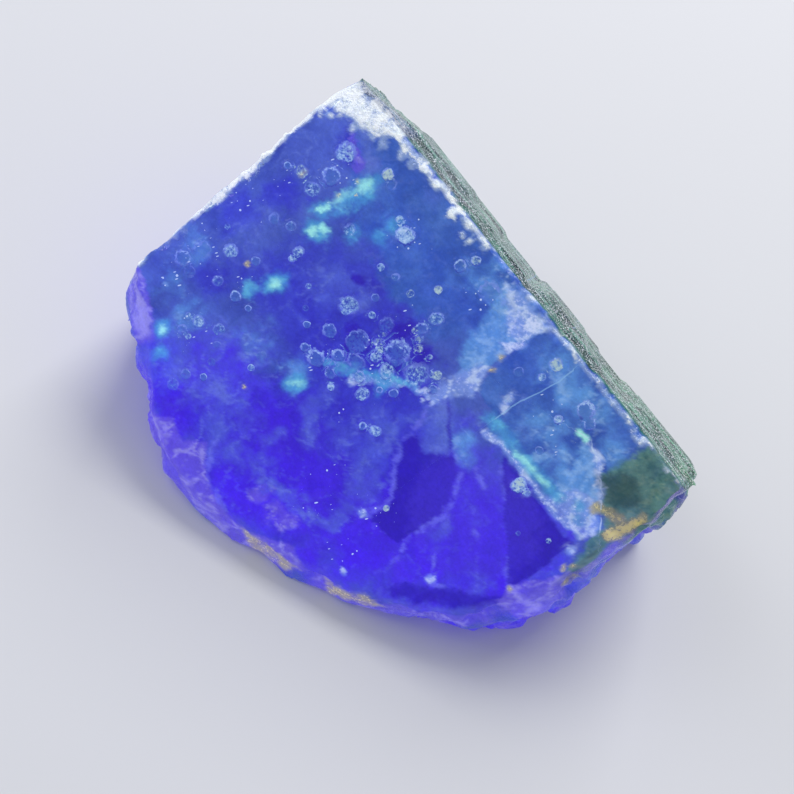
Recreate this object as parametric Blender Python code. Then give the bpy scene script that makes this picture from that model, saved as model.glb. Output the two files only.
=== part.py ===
"""A corner broken from a large fluorite cube, lying on its broken underside.

Three cube faces meet at the apex: the wide face, the stepped face behind the ridge and the
narrow end face. Everything else is fracture, made of small octahedral cleavage facets.

The crystal is modelled in millimetres in its own axes, and one matrix then lays it on its
base in metres, +Z up:
    A runs from the apex along the ridge,
    B runs from the ridge down the wide face,
    C runs from the wide face into the crystal, along the stepped face.
"""

import math
import random

import bmesh
import bpy
from mathutils import Matrix, Vector

MM = 0.001

# How the crystal lies. Heights are above the surface that it rests on.
RIDGE_DIP = math.radians(14.4)
WIDE_FACE_ROLL = math.radians(42.8)
APEX_HEIGHT = 32.6
APEX_X = -18.13
APEX_Y = 3.88
UNDERSIDE_SIZE = 150.0

# The three cube faces: the wide face is C = 0 and the stepped face is B = 0.
RIDGE_LENGTH = 46.0
END_FACE_A = -1.2

# The wide face's broken rim, from the end face round to the ridge's far end. Each pair is a
# point of the rim and the point of the shoulder that stands proud below it, as (A, B).
SHOULDER_DEPTH = 2.0
RIM_AND_SHOULDER = (
    ((-1.2, 26.8), (-1.2, 28.5)),
    ((0.3, 28.4), (-0.5, 30.3)),
    ((2.2, 29.0), (1.1, 32.0)),
    ((4.6, 30.4), (4.0, 33.6)),
    ((7.5, 32.6), (7.5, 34.9)),
    ((10.6, 35.0), (11.3, 37.4)),
    ((14.5, 36.5), (15.1, 38.8)),
    ((19.0, 36.6), (20.4, 38.7)),
    ((23.7, 34.9), (24.8, 37.7)),
    ((26.5, 34.4), (27.6, 36.0)),
    ((29.6, 33.1), (31.0, 35.6)),
    ((32.6, 31.4), (34.2, 33.4)),
    ((35.0, 30.8), (36.3, 32.6)),
    ((38.2, 28.3), (40.1, 29.3)),
    ((41.0, 25.8), (42.9, 26.9)),
    ((42.9, 23.7), (45.2, 24.6)),
    ((44.0, 20.4), (46.6, 21.6)),
    ((45.7, 17.2), (48.2, 19.1)),
    ((46.2, 14.0), (48.3, 15.6)),
    ((46.2, 11.1), (47.8, 11.8)),
    ((46.2, 7.8), (47.7, 7.8)),
    ((46.8, 4.0), (47.6, 4.3)),
    ((RIDGE_LENGTH, 0.0), (46.4, 0.0)),
)
# Below the shoulder the broken sides spread by this share of their distance from the apex.
SIDE_SPREAD = 0.13

# Growth layers stacked on the stepped face: (front C, near A, far A, back C, height). The
# higher ones make three low hillocks along the ridge.
GROWTH_LAYERS = (
    (0.7, 1.6, 46.6, 22.5, 0.30),
    (1.6, 3.0, 22.3, 18.0, 0.55),
    (1.7, 23.9, 47.0, 20.0, 0.55),
    (2.8, 4.5, 17.5, 18.0, 0.85),
    (4.2, 5.6, 13.0, 13.5, 1.15),
    (2.6, 24.0, 33.0, 18.0, 0.85),
    (4.4, 25.2, 30.5, 14.0, 1.15),
    (2.9, 37.6, 47.4, 19.0, 0.85),
    (4.5, 38.8, 47.2, 15.0, 1.20),
    (6.6, 40.5, 46.6, 11.0, 1.45),
)
JOG_LENGTH = 4.5
JOG_DEPTH = 0.45
# Thin growth layers on the end face: (front C, near B, far B, back C, height).
END_LAYERS = (
    (2.4, 5.5, 26.0, 16.0, 0.25),
    (5.6, 8.0, 21.0, 12.5, 0.50),
)
LAYER_ROOT = 1.5

# The big breaks behind: a point on each plane and its outward normal, in crystal axes. The
# corner breaks follow the octahedral cleavage.
BACK_BREAK = ((0.0, 0.0, 29.5), (0.08, -0.20, 0.975))
BACK_CORNER_BREAK = ((0.0, 0.0, 19.0), (-1.0, -1.0, 1.0))
FAR_CORNER_BREAK = ((48.5, 0.0, 20.5), (1.0, -1.0, 1.0))
APEX_BRUISES = (
    ((6.3, 0.0, 0.0), (-0.16, -0.30, -0.94)),
    ((0.0, 0.0, 0.0), (-2.0, -0.7, -0.6)),
)

# Fracture relief: octahedral notches, which leave cleavage facets. Each pass spreads smaller
# ones over the breaks: (spacing, height above the foot, radius range, depth range).
NOTCH_PASSES = (
    (9.5, 4.2, (9.0, 14.0), (2.0, 3.4)),
    (5.0, 2.7, (3.5, 7.0), (1.0, 2.2)),
    (3.0, 0.0, (1.6, 3.6), (0.4, 1.1)),
)
NOTCH_REACH = 1.25
NOTCH_TRIES = 3000
WALL_RINGS = (7.0, 12.5, 18.0, 24.0, 34.0)
WALL_JITTER = 1.1

# Shallow round growth pits on the wide face: (A, B, radius).
PITS = (
    (3.8, 5.0, 0.90),
    (4.6, 7.5, 0.80),
    (4.3, 9.6, 0.70),
    (2.3, 9.4, 0.60),
    (7.7, 3.2, 0.55),
    (4.0, 14.0, 0.60),
    (12.9, 5.4, 0.80),
    (3.7, 19.1, 0.70),
    (1.9, 21.2, 0.80),
    (7.8, 14.1, 0.60),
    (15.2, 16.5, 0.65),
    (17.5, 14.9, 0.95),
    (17.9, 11.8, 0.70),
    (20.7, 12.7, 1.15),
    (19.0, 17.1, 0.85),
    (16.2, 19.2, 0.80),
    (23.5, 12.6, 1.15),
    (21.9, 18.2, 0.65),
    (25.2, 19.1, 0.60),
    (9.7, 31.7, 0.55),
    (7.6, 25.2, 0.65),
    (21.7, 2.8, 0.95),
    (20.5, 8.0, 0.65),
    (30.5, 2.1, 0.60),
    (35.5, 2.6, 0.80),
    (37.1, 11.6, 0.75),
)
PIT_DEPTH_SHARE = 0.30
PIT_MOUTH_SHARE = 1.5
PIT_FLOOR_SHARE = 0.5
PIT_SIDES = 10

# Small octahedral chips knocked out of the ridge and of the end face's edge: how many, their
# size range, and where they start and end.
RIDGE_CHIPS = (13, (0.45, 1.05), (7.0, 0.0, 0.0), (45.0, 0.0, 0.0))
END_CHIPS = (7, (0.40, 0.85), (END_FACE_A, 5.0, 0.0), (END_FACE_A, 25.0, 0.0))
CHIP_SPREAD = (0.25, 0.75)
CHIP_STRETCH = (0.2, 1.2)
CHIP_JITTER = 0.12

# How near a point is to a cube face's plane to count as on it.
ON_FACE = 0.02

FLUORITE_COLOUR = (0.07, 0.07, 0.62, 1.0)
FLUORITE_IOR = 1.434
FLUORITE_ROUGHNESS = 0.12
FLUORITE_CLARITY = 0.6


def crystal_to_surface():
    """Returns the matrix that takes crystal axes in millimetres to the resting part in metres."""
    place = Matrix.Translation(Vector((APEX_X, APEX_Y, APEX_HEIGHT)) * MM)
    turn = Matrix.Rotation(RIDGE_DIP, 4, "Y") @ Matrix.Rotation(math.pi + WIDE_FACE_ROLL, 4, "X")
    return place @ turn @ Matrix.Scale(MM, 4)


def base_plane():
    """Returns a point and the outward normal of the resting plane, in crystal axes."""
    to_crystal = crystal_to_surface().inverted()
    down = to_crystal.to_3x3() @ Vector((0, 0, -1))
    return to_crystal @ Vector((0, 0, 0)), down.normalized()


def new_object(name, mesh_source):
    """Makes an object of a bmesh and frees the bmesh."""
    mesh = bpy.data.meshes.new(name)
    mesh_source.to_mesh(mesh)
    mesh_source.free()
    made = bpy.data.objects.new(name, mesh)
    bpy.context.scene.collection.objects.link(made)
    return made


def apply_boolean(target, tool, operation):
    """Joins tool to target, or cuts it away, and removes tool."""
    modifier = target.modifiers.new("boolean", "BOOLEAN")
    modifier.operation = operation
    modifier.solver = "EXACT"
    modifier.object = tool
    graph = bpy.context.evaluated_depsgraph_get()
    result = bpy.data.meshes.new_from_object(target.evaluated_get(graph))
    target.modifiers.clear()
    target.data = result
    bpy.data.objects.remove(tool)


def ring(bm, points, depth):
    """Adds one closed loop of vertices and edges at a depth below the wide face."""
    verts = [bm.verts.new((a, b, depth)) for a, b in points]
    return [bm.edges.new((verts[i], verts[(i + 1) % len(verts)])) for i in range(len(verts))]


def block():
    """Lofts the block from the wide face's rim, over its shoulder, down uneven broken walls."""
    rng = random.Random(3)
    apex = (END_FACE_A, 0.0)
    rim = [apex] + [pair[0] for pair in RIM_AND_SHOULDER]
    shoulder = [apex] + [pair[1] for pair in RIM_AND_SHOULDER]
    bm = bmesh.new()
    loops = [ring(bm, rim, 0.0), ring(bm, shoulder, SHOULDER_DEPTH)]
    for depth in WALL_RINGS:
        spread = 1 + SIDE_SPREAD * depth / WALL_RINGS[-1]
        wall = []
        for a, b in shoulder:
            sway = 1 + rng.uniform(-WALL_JITTER, WALL_JITTER) / math.hypot(a, b)
            far = a * spread * sway
            down = b * spread * sway
            wall.append((END_FACE_A if a <= END_FACE_A else far, down))
        loops.append(ring(bm, wall, depth))
    for upper, lower in zip(loops, loops[1:]):
        bmesh.ops.bridge_loops(bm, edges=upper + lower)
    bmesh.ops.holes_fill(bm, edges=bm.edges, sides=0)
    bmesh.ops.triangulate(bm, faces=bm.faces)
    bmesh.ops.recalc_face_normals(bm, faces=bm.faces)
    return new_object("block", bm)


def jogged_edge(start, end, level, rng):
    """Returns points from start to end that step in and out of level, as growth layers do."""
    steps = max(2, round(abs(end - start) / JOG_LENGTH))
    points = []
    here = level
    for k in range(steps):
        near = start + (end - start) * k / steps
        far = start + (end - start) * (k + 1) / steps
        points += [(near, here), (far, here)]
        here = level + rng.uniform(-JOG_DEPTH, JOG_DEPTH)
    return points


def layer(across, first_c, near, far, last_c, height, base, rng):
    """Makes one growth layer with jogged long edges.

    across is 1 for a layer on the stepped face (B) and 0 for one on the end face (A).
    """
    outline = jogged_edge(near, far, first_c, rng) + jogged_edge(far, near, last_c, rng)
    bm = bmesh.new()
    along = 1 - across
    verts = []
    for run, depth in outline:
        place = [0.0, 0.0, depth]
        place[along] = run
        place[across] = base + LAYER_ROOT
        verts.append(bm.verts.new(place))
    face = bm.faces.new(verts)
    lift = [0.0, 0.0, 0.0]
    lift[across] = -(LAYER_ROOT + height)
    grown = bmesh.ops.extrude_face_region(bm, geom=[face])
    bmesh.ops.translate(
        bm, vec=lift, verts=[v for v in grown["geom"] if isinstance(v, bmesh.types.BMVert)]
    )
    bmesh.ops.recalc_face_normals(bm, faces=bm.faces)
    return new_object("growth_layer", bm)


def add_growth_layers(crystal):
    """Stacks the growth layers on the stepped face and on the end face."""
    rng = random.Random(5)
    for first_c, near, far, last_c, height in GROWTH_LAYERS:
        tool = layer(1, first_c, near, far, last_c, height, 0.0, rng)
        apply_boolean(crystal, tool, "UNION")
    for first_c, near, far, last_c, height in END_LAYERS:
        tool = layer(0, first_c, near, far, last_c, height, END_FACE_A, rng)
        apply_boolean(crystal, tool, "UNION")


def trim(bm, point, normal):
    """Cuts away what lies outside a plane and closes the cut."""
    everything = bm.verts[:] + bm.edges[:] + bm.faces[:]
    cut = bmesh.ops.bisect_plane(
        bm, geom=everything, plane_co=point, plane_no=normal, clear_outer=True
    )
    edges = [e for e in cut["geom_cut"] if isinstance(e, bmesh.types.BMEdge)]
    bmesh.ops.holes_fill(bm, edges=edges, sides=0)


def is_growth(face):
    """Says whether a face is a cube face or part of a growth layer, rather than fracture."""
    corners = [v.co for v in face.verts]
    return (
        all(c.z < ON_FACE for c in corners)
        or all(c.y < ON_FACE for c in corners)
        or all(c.x < END_FACE_A + ON_FACE for c in corners)
    )


def fracture_points(crystal, rng, spacing, foot, keep_off):
    """Returns evenly spread (point, normal) pairs on the breaks.

    The points keep off the wide face's shoulder, the end face and the resting plane.
    """
    bm = bmesh.new()
    bm.from_mesh(crystal.data)
    bmesh.ops.triangulate(bm, faces=bm.faces)
    bm.normal_update()
    broken = [f for f in bm.faces if not is_growth(f)]
    areas = [f.calc_area() for f in broken]
    base_point, base_down = base_plane()
    kept = []
    for face in rng.choices(broken, areas, k=NOTCH_TRIES):
        out = rng.random() ** 0.5
        turn = rng.random()
        first, second, third = (vert.co for vert in face.verts)
        place = first.lerp(second.lerp(third, turn), out)
        clear_of_base = (place - base_point).dot(base_down) < -foot
        clear_of_faces = place.z > SHOULDER_DEPTH + keep_off and place.x > END_FACE_A + keep_off
        if clear_of_base and clear_of_faces:
            if all((place - other).length > spacing for other, _ in kept):
                kept.append((place, face.normal.copy()))
    bm.free()
    return kept


def octahedron(place, radii):
    """Makes an octahedron with its corners along the crystal axes."""
    bm = bmesh.new()
    shape = Matrix.Translation(place) @ Matrix.Diagonal((*radii, 1.0))
    bmesh.ops.create_uvsphere(bm, u_segments=4, v_segments=2, radius=1.0, matrix=shape)
    return new_object("octahedron", bm)


def notch_fracture(crystal):
    """Cuts the octahedral notches into the breaks, one by one, the large ones first."""
    rng = random.Random(17)
    for spacing, foot, radii, depths in NOTCH_PASSES:
        keep_off = depths[1] * NOTCH_REACH
        for place, normal in fracture_points(crystal, rng, spacing, foot, keep_off):
            radius = rng.uniform(*radii)
            reach = radius * max(abs(normal.x), abs(normal.y), abs(normal.z))
            centre = place + normal * (reach - rng.uniform(*depths))
            apply_boolean(crystal, octahedron(centre, (radius, radius, radius)), "DIFFERENCE")


def underside():
    """Makes the block below the resting plane, in crystal axes."""
    bm = bmesh.new()
    shape = Matrix.Scale(UNDERSIDE_SIZE * MM, 4) @ Matrix.Translation((0.0, 0.0, -0.5))
    bmesh.ops.create_cube(bm, size=1.0, matrix=crystal_to_surface().inverted() @ shape)
    return new_object("underside", bm)


def drop_shards(crystal):
    """Keeps the largest body and lets go of any shard that the notches cut free."""
    bm = bmesh.new()
    bm.from_mesh(crystal.data)
    waiting = set(bm.verts)
    bodies = []
    while waiting:
        body = set()
        front = [waiting.pop()]
        while front:
            vert = front.pop()
            body.add(vert)
            near = {edge.other_vert(vert) for edge in vert.link_edges} & waiting
            waiting -= near
            front += near
        bodies.append(body)
    shards = [v for body in sorted(bodies, key=len)[:-1] for v in body]
    bmesh.ops.delete(bm, geom=shards, context="VERTS")
    bm.to_mesh(crystal.data)
    bm.free()


def cut_pits(crystal):
    """Sinks the shallow round pits into the wide face."""
    bm = bmesh.new()
    for a, b, radius in PITS:
        bmesh.ops.create_cone(
            bm,
            segments=PIT_SIDES,
            radius1=radius * PIT_MOUTH_SHARE,
            radius2=radius * PIT_FLOOR_SHARE,
            depth=2 * radius * PIT_DEPTH_SHARE,
            cap_ends=True,
            matrix=Matrix.Translation((a, b, 0.0)),
        )
    bmesh.ops.recalc_face_normals(bm, faces=bm.faces)
    apply_boolean(crystal, new_object("pits", bm), "DIFFERENCE")


def chip_edge(crystal, rng, count, sizes, start, end):
    """Knocks small octahedral chips out of an edge, longer along the edge than across it."""
    start = Vector(start)
    end = Vector(end)
    along = (end - start).normalized()
    for k in range(count):
        share = (k + rng.uniform(*CHIP_SPREAD)) / count
        stray = Vector([rng.uniform(-CHIP_JITTER, CHIP_JITTER) for _ in range(3)])
        size = rng.uniform(*sizes)
        stretch = rng.uniform(*CHIP_STRETCH)
        radii = [size * (1 + stretch * abs(part)) for part in along]
        apply_boolean(crystal, octahedron(start.lerp(end, share) + stray, radii), "DIFFERENCE")


def fluorite_material():
    """Clear violet-blue fluorite with a glassy surface."""
    material = bpy.data.materials.new("fluorite")
    material.use_nodes = True
    shader = material.node_tree.nodes["Principled BSDF"]
    shader.inputs["Base Color"].default_value = FLUORITE_COLOUR
    shader.inputs["Roughness"].default_value = FLUORITE_ROUGHNESS
    shader.inputs["Metallic"].default_value = 0.0
    shader.inputs["IOR"].default_value = FLUORITE_IOR
    shader.inputs["Transmission Weight"].default_value = FLUORITE_CLARITY
    return material


def trim_block(crystal):
    """Cuts the block along the big breaks and the bruised apex."""
    bm = bmesh.new()
    bm.from_mesh(crystal.data)
    for point, normal in (BACK_BREAK, BACK_CORNER_BREAK, FAR_CORNER_BREAK, *APEX_BRUISES):
        trim(bm, Vector(point), Vector(normal).normalized())
    bmesh.ops.triangulate(bm, faces=bm.faces)
    bm.to_mesh(crystal.data)
    bm.free()


def fluorite_crystal():
    """Builds the whole crystal as one solid."""
    crystal = block()
    add_growth_layers(crystal)
    trim_block(crystal)
    notch_fracture(crystal)
    cut_pits(crystal)
    rng = random.Random(11)
    chip_edge(crystal, rng, *RIDGE_CHIPS)
    chip_edge(crystal, rng, *END_CHIPS)
    apply_boolean(crystal, underside(), "DIFFERENCE")
    drop_shards(crystal)
    crystal.name = "fluorite_crystal"
    crystal.data.transform(crystal_to_surface())
    crystal.data.name = "fluorite_crystal"
    crystal.data.materials.clear()
    crystal.data.materials.append(fluorite_material())
    return crystal


def main():
    for leftover in list(bpy.data.objects):
        bpy.data.objects.remove(leftover)
    crystal = fluorite_crystal()
    collection = bpy.data.collections.new("fluorite cube")
    bpy.context.scene.collection.children.link(collection)
    bpy.context.scene.collection.objects.unlink(crystal)
    collection.objects.link(crystal)


main()
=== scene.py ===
"""Dresses a corner broken from a large fluorite cube, lying on its broken underside.

Lengths on the crystal are millimetres along its own axes: A runs from the apex along the
ridge, B runs from the ridge down the wide growth face, and C runs into the crystal. The
wide face is C = 0, the stepped face behind the ridge is B = 0, and the narrow end face
closes the near end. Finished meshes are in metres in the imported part's frame.
"""

import logging
import math
from dataclasses import dataclass
from enum import Enum

import bmesh
import bpy
import numpy as np
from mathutils import Matrix, Vector

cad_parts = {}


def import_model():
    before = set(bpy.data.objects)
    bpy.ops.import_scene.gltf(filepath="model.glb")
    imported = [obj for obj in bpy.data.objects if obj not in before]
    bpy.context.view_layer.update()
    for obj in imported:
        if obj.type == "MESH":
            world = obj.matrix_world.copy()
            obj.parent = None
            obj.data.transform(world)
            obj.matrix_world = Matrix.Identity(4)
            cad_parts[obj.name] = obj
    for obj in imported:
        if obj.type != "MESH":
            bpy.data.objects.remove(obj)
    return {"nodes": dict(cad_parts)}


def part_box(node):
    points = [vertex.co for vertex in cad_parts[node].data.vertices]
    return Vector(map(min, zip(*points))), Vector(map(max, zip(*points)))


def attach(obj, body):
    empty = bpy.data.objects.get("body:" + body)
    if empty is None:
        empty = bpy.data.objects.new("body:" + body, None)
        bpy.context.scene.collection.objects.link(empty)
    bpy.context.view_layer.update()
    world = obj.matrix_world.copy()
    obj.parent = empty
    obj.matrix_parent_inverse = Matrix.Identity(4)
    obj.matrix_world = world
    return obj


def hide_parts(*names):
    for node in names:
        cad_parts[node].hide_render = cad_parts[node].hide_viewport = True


MM = 0.001

Array = np.ndarray
Path = tuple[tuple[float, float], ...]
Tree = bpy.types.NodeTree
Socket = bpy.types.NodeSocket
Mesh = bpy.types.Mesh

# Gradient noise: how many random directions it has, and the primes that pick one.
DIRECTIONS = 4096
PRIMES = np.array([73856093, 19349663, 83492791])

# How many points are compared with all seeds at once, to save memory.
BLOCK = 4000

# Settings of the nodes that are used more than once.
SMOOTH = {"interpolation_type": "SMOOTHSTEP"}
MULTIPLY = {"operation": "MULTIPLY"}
MULTIPLY_ADD = {"operation": "MULTIPLY_ADD"}
MAXIMUM = {"operation": "MAXIMUM"}
RGBA = {"data_type": "RGBA"}
TEXTURE = {"vector_type": "TEXTURE"}

logging.basicConfig(level=logging.INFO, format="%(name)s: %(message)s")
log = logging.getLogger("fluorite")


# --------------------------------------------------------------------------- small tools


def linear(code: str) -> tuple[float, float, float, float]:
    """Turns an sRGB hex colour into linear light.

    Args:
        code: six hex digits, with or without a leading hash.

    Returns:
        Red, green, blue and an alpha of one.
    """
    digits = code.lstrip("#")
    parts = [int(digits[i : i + 2], 16) / 255 for i in (0, 2, 4)]
    light = [p / 12.92 if p <= 0.04045 else ((p + 0.055) / 1.055) ** 2.4 for p in parts]
    return (light[0], light[1], light[2], 1.0)


def smoothstep(value: Array, low: float, high: float) -> Array:
    """Rises smoothly from 0 at low to 1 at high; low may be the larger one.

    Args:
        value: the numbers to shape.
        low: where the curve is 0.
        high: where the curve is 1.

    Returns:
        t squared times (3 - 2 t), with t the share of the way from low to high.
    """
    t = np.clip((value - low) / (high - low), 0.0, 1.0)
    return t * t * (3 - 2 * t)


def bell(value: Array, width: float) -> Array:
    """A bell curve: e to the power of minus the square of value / width."""
    return np.exp(-((value / width) ** 2))


def gradient_noise(points: Array, size: float, seed: int) -> Array:
    """Smooth random values round zero on a cubic lattice.

    Each lattice corner has a fixed random direction. A corner's value at a place is the dot
    product of that direction with the offset from the corner, and the eight corners' values
    are blended by smoothed shares along the three axes.

    Args:
        points: N x 3 places, in mm.
        size: lattice spacing, in mm.
        seed: which set of random directions.

    Returns:
        N values, mostly from -0.8 to 0.8.
    """
    directions = np.random.default_rng(seed).normal(size=(DIRECTIONS, 3))
    directions /= np.linalg.norm(directions, axis=1, keepdims=True)
    scaled = points / size
    cell = np.floor(scaled).astype(np.int64)
    part = scaled - cell
    blend = part**3 * (part * (part * 6 - 15) + 10)
    total = np.zeros(len(points))
    for corner in np.ndindex(2, 2, 2):
        offset = np.array(corner)
        key = np.abs((cell + offset) @ PRIMES) % DIRECTIONS
        share = np.where(offset == 1, blend, 1 - blend).prod(axis=1)
        total += share * ((part - offset) * directions[key]).sum(axis=1)
    return total * 1.6


def layered_noise(
    points: Array, size: float, seed: int, layers: int = 4, fall: float = 0.5
) -> Array:
    """Adds gradient noises, each half the size of the one before and fall times as strong.

    Args:
        points: N x 3 places, in mm.
        size: spacing of the coarsest lattice, in mm.
        seed: which set of random directions.
        layers: how many lattices.
        fall: how much of its strength each layer passes on.

    Returns:
        N values, mostly from -1 to 1.
    """
    total = np.zeros(len(points))
    for k in range(layers):
        total += fall**k * gradient_noise(points, size / 2**k, seed + k)
    return total / math.sqrt(sum(fall ** (2 * k) for k in range(layers)))


class Noise(Enum):
    """The crystal's slow noises: size in mm, seed, and layers and fall where not 4 and 0.5."""

    SWELLS = (9.0, 51, 2)
    LUMPS = (3.4, 35, 3)
    RAGGED_EDGES = (2.2, 31)
    EDGE_CHIPS = (1.5, 33, 3)
    STEPS = (0.9, 41, 3)
    PATCHES = (6.0, 81)
    RIDGE_CHIPS = (0.7, 97, 2)
    DEEP_HAZE = (4.5, 95, 5)
    BRUISE_DEPTH = (1.8, 99, 3)
    KNOCKS = (4.0, 91)
    SWAY = (1.6, 181, 3)
    WARP_ALONG = (2.6, 61, 5, 0.68)
    WARP_DOWN = (2.6, 71, 5, 0.68)
    BEND_ALONG = (2.4, 101, 3)
    BEND_DOWN = (2.4, 111, 3)
    BEND_IN = (2.4, 121, 3)
    CLOUD = (6.5, 131, 6, 0.60)
    DRIFT = (3.2, 141, 5, 0.62)
    MOTTLE = (1.5, 151, 4, 0.75)

    def at(self, points: Array) -> Array:
        """The layered noise's values, mostly from -1 to 1, at N x 3 places in mm."""
        return layered_noise(points, *self.value)


def thread_noise(points: Array, size: float, seed: int, layers: int = 4) -> Array:
    """Fine branching threads: high where a gradient noise passes through zero.

    Each layer is the square of 1 - |noise| / 0.45, held at zero, and the layers are half
    the size and 0.7 times as strong each time.

    Args:
        points: N x 3 places, in mm.
        size: spacing of the coarsest lattice, in mm.
        seed: which set of random directions.
        layers: how many lattices.

    Returns:
        N values from 0 to 1.
    """
    total = np.zeros(len(points))
    for k in range(layers):
        noise = np.abs(gradient_noise(points, size / 2**k, seed + k))
        total += 0.7**k * np.clip(1 - noise / 0.45, 0, 1) ** 2
    return total / sum(0.7**k for k in range(layers))


def path_distance(places: Array, path: Path, closed: bool = False) -> Array:
    """Signed distance from places on a face to a line of straight runs.

    For each run, the nearest point is the place's projection onto it, held between its
    ends. The sign is that of the cross product with the nearest run: positive on its left.

    Args:
        places: N x 2 places (A, B), in mm.
        path: the line's corners.
        closed: whether the last corner joins the first.

    Returns:
        N distances, in mm.
    """
    corners = np.array(path + path[:1] if closed else path)
    best = np.full(len(places), 1e9)
    side = np.ones(len(places))
    for start, end in zip(corners, corners[1:]):
        run = end - start
        away = places - start
        share = np.clip(away @ run / (run @ run), 0, 1)
        gap = np.hypot(*(away - share[:, None] * run).T)
        turn = run[0] * away[:, 1] - run[1] * away[:, 0]
        nearer = gap < best
        best = np.where(nearer, gap, best)
        side = np.where(nearer, np.where(turn >= 0, 1.0, -1.0), side)
    return best * side


def inside(places: Array, outline: Path) -> Array:
    """Says which places lie inside a closed outline, by counting the edges to their right.

    Args:
        places: N x 2 places.
        outline: the corners, in order.

    Returns:
        N booleans.
    """
    count = np.zeros(len(places), int)
    corners = np.array(outline)
    for (x0, y0), (x1, y1) in zip(corners, np.roll(corners, -1, axis=0)):
        spans = (y0 > places[:, 1]) != (y1 > places[:, 1])
        rise = y1 - y0 if abs(y1 - y0) > 1e-9 else 1e-9
        crossing = x0 + (places[:, 1] - y0) * (x1 - x0) / rise
        count += spans & (places[:, 0] < crossing)
    return count % 2 == 1


def nearest(points: Array, seeds: Array) -> Array:
    """Finds the nearest seed of each point, a block of points at a time.

    Args:
        points: N x D places.
        seeds: M x D places.

    Returns:
        N indices into seeds.
    """
    found = np.empty(len(points), np.int64)
    squares = (seeds**2).sum(axis=1)
    for start in range(0, len(points), BLOCK):
        block = points[start : start + BLOCK]
        found[start : start + BLOCK] = (squares - 2 * block @ seeds.T).argmin(axis=1)
    return found


def add_node(
    tree: Tree,
    kind: str,
    settings: dict | None = None,
    inputs: dict | None = None,
    out: int | str = 0,
) -> Socket | None:
    """Adds a shader node with its settings and links.

    Args:
        tree: the material's node tree.
        kind: the node's type after "ShaderNode".
        settings: attributes to set.
        inputs: for each input's name or number, a value, or an output socket to link.
        out: the name or number of the output to return.

    Returns:
        That output's socket, or None for a node without outputs.
    """
    made = tree.nodes.new("ShaderNode" + kind)
    for name, value in (settings or {}).items():
        setattr(made, name, value)
    for name, value in (inputs or {}).items():
        if isinstance(value, Socket):
            tree.links.new(value, made.inputs[name])
        else:
            made.inputs[name].default_value = value
    return made.outputs[out] if len(made.outputs) else None


# ------------------------------------------------------------------- the crystal's axes


@dataclass(frozen=True)
class CrystalAxes:
    """How the crystal lies: its apex, and the turn from its own axes to the part's frame."""

    ridge_dip: float = math.radians(14.4)
    wide_face_roll: float = math.radians(42.8)
    apex: tuple[float, float, float] = (-18.13, 3.88, 32.6)

    def turn(self) -> Matrix:
        """The rotation from crystal axes to the part's frame."""
        roll = Matrix.Rotation(math.pi + self.wide_face_roll, 3, "X")
        return Matrix.Rotation(self.ridge_dip, 3, "Y") @ roll

    def to_part(self, points: Array) -> Array:
        """Takes N x 3 crystal places in mm to the part's frame in metres."""
        return (points @ np.array(self.turn()).T + np.array(self.apex)) * MM

    def to_crystal(self, points: Array) -> Array:
        """Takes N x 3 places in the part's frame, in metres, to crystal axes in mm."""
        return (points / MM - np.array(self.apex)) @ np.array(self.turn())


AXES = CrystalAxes()

# The painted attributes: one colour, then three weights in each.
TINT = "tint"
PAINTED = {
    "faces": ("wide", "stepped", "fracture"),
    "pits": ("pit_a", "pit_b", "pit_near"),
    # dim lowers the painted glow on the stepped face and the green corner.
    "growth": ("crust", "filling", "dim"),
    "details": ("crack_gap", "scratch_gap", "dust"),
    "marks": ("veil", "crush", "stain"),
}


# ------------------------------------------------------------- what is on the wide face


class Mark(Enum):
    """What a marking on or just under a face is made of."""

    VIOLET = "the deepest violet glow"
    DEEP = "a deep blue glow"
    TEAL = "clear blue-green crystal"
    HAZE = "a thin film of bubbles, deep inside"
    SKY = "a pale blue haze just under the face"
    DARK = "clear crystal with a clean violet break behind it"
    GREEN = "deep green crystal, where no blue glow reaches"
    LILAC = "a frosted lilac break"
    VEIL = "a milky veil of tiny fluid bubbles"
    STAIN = "beige clay and iron stain"
    # MINT and FLASH are painted reflections of inner cleavages.
    MINT = "an inner cleavage that flashes mint green"
    FLASH = "the bright middle of such a cleavage"
    # A painted highlight on an inner plate's edge.
    THREAD = "the lit edge of an inner plate"
    # Where tiny knocks are, shown as painted glints.
    DUST = "fine knocks and growth dimples"
    CRUSH = "crystal crushed white by a knock"


class Shape(Enum):
    """How a marking's points are read."""

    PATCH = "a closed outline, filled"
    STROKE = "a line of some width"
    SPOTS = "round spots, one at each point"


@dataclass(frozen=True)
class Marking:
    """One marking on the wide face: its kind, its shape and how its edge runs out.

    The fade is the width of a patch's edge, or the half width of a stroke or spot, in mm.
    Ragged says how much of the warp bends it.
    """

    mark: Mark
    shape: Shape
    fade: float
    strength: float
    ragged: float
    points: Path

    def weight(self, places: Array, warp: Array) -> Array:
        """How strongly the marking shows at each place.

        The signed distance to the outline or line, with places shifted by the warp, goes
        through a smooth step over the fade; spots use a bell curve of the distance.

        Args:
            places: N x 2 places (A, B), in mm.
            warp: N x 2 shifts that make edges ragged, about 1 mm at most.

        Returns:
            N values from 0 to strength.
        """
        bent = places + self.ragged * warp
        if self.shape is Shape.SPOTS:
            total = np.zeros(len(places))
            for centre in self.points:
                gap = np.hypot(*(bent - np.array(centre)).T)
                total = np.maximum(total, bell(gap, self.fade))
            return self.strength * total
        if self.shape is Shape.STROKE:
            gap = np.abs(path_distance(bent, self.points))
            return self.strength * bell(gap, self.fade)
        gap = np.abs(path_distance(bent, self.points, closed=True))
        signed = np.where(inside(bent, self.points), gap, -gap)
        return self.strength * smoothstep(signed, -self.fade / 2, self.fade / 2)


def patch(mark: Mark, fade: float, strength: float, ragged: float, *points: tuple) -> Marking:
    """A filled marking with these corners."""
    return Marking(mark, Shape.PATCH, fade, strength, ragged, points)


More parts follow.
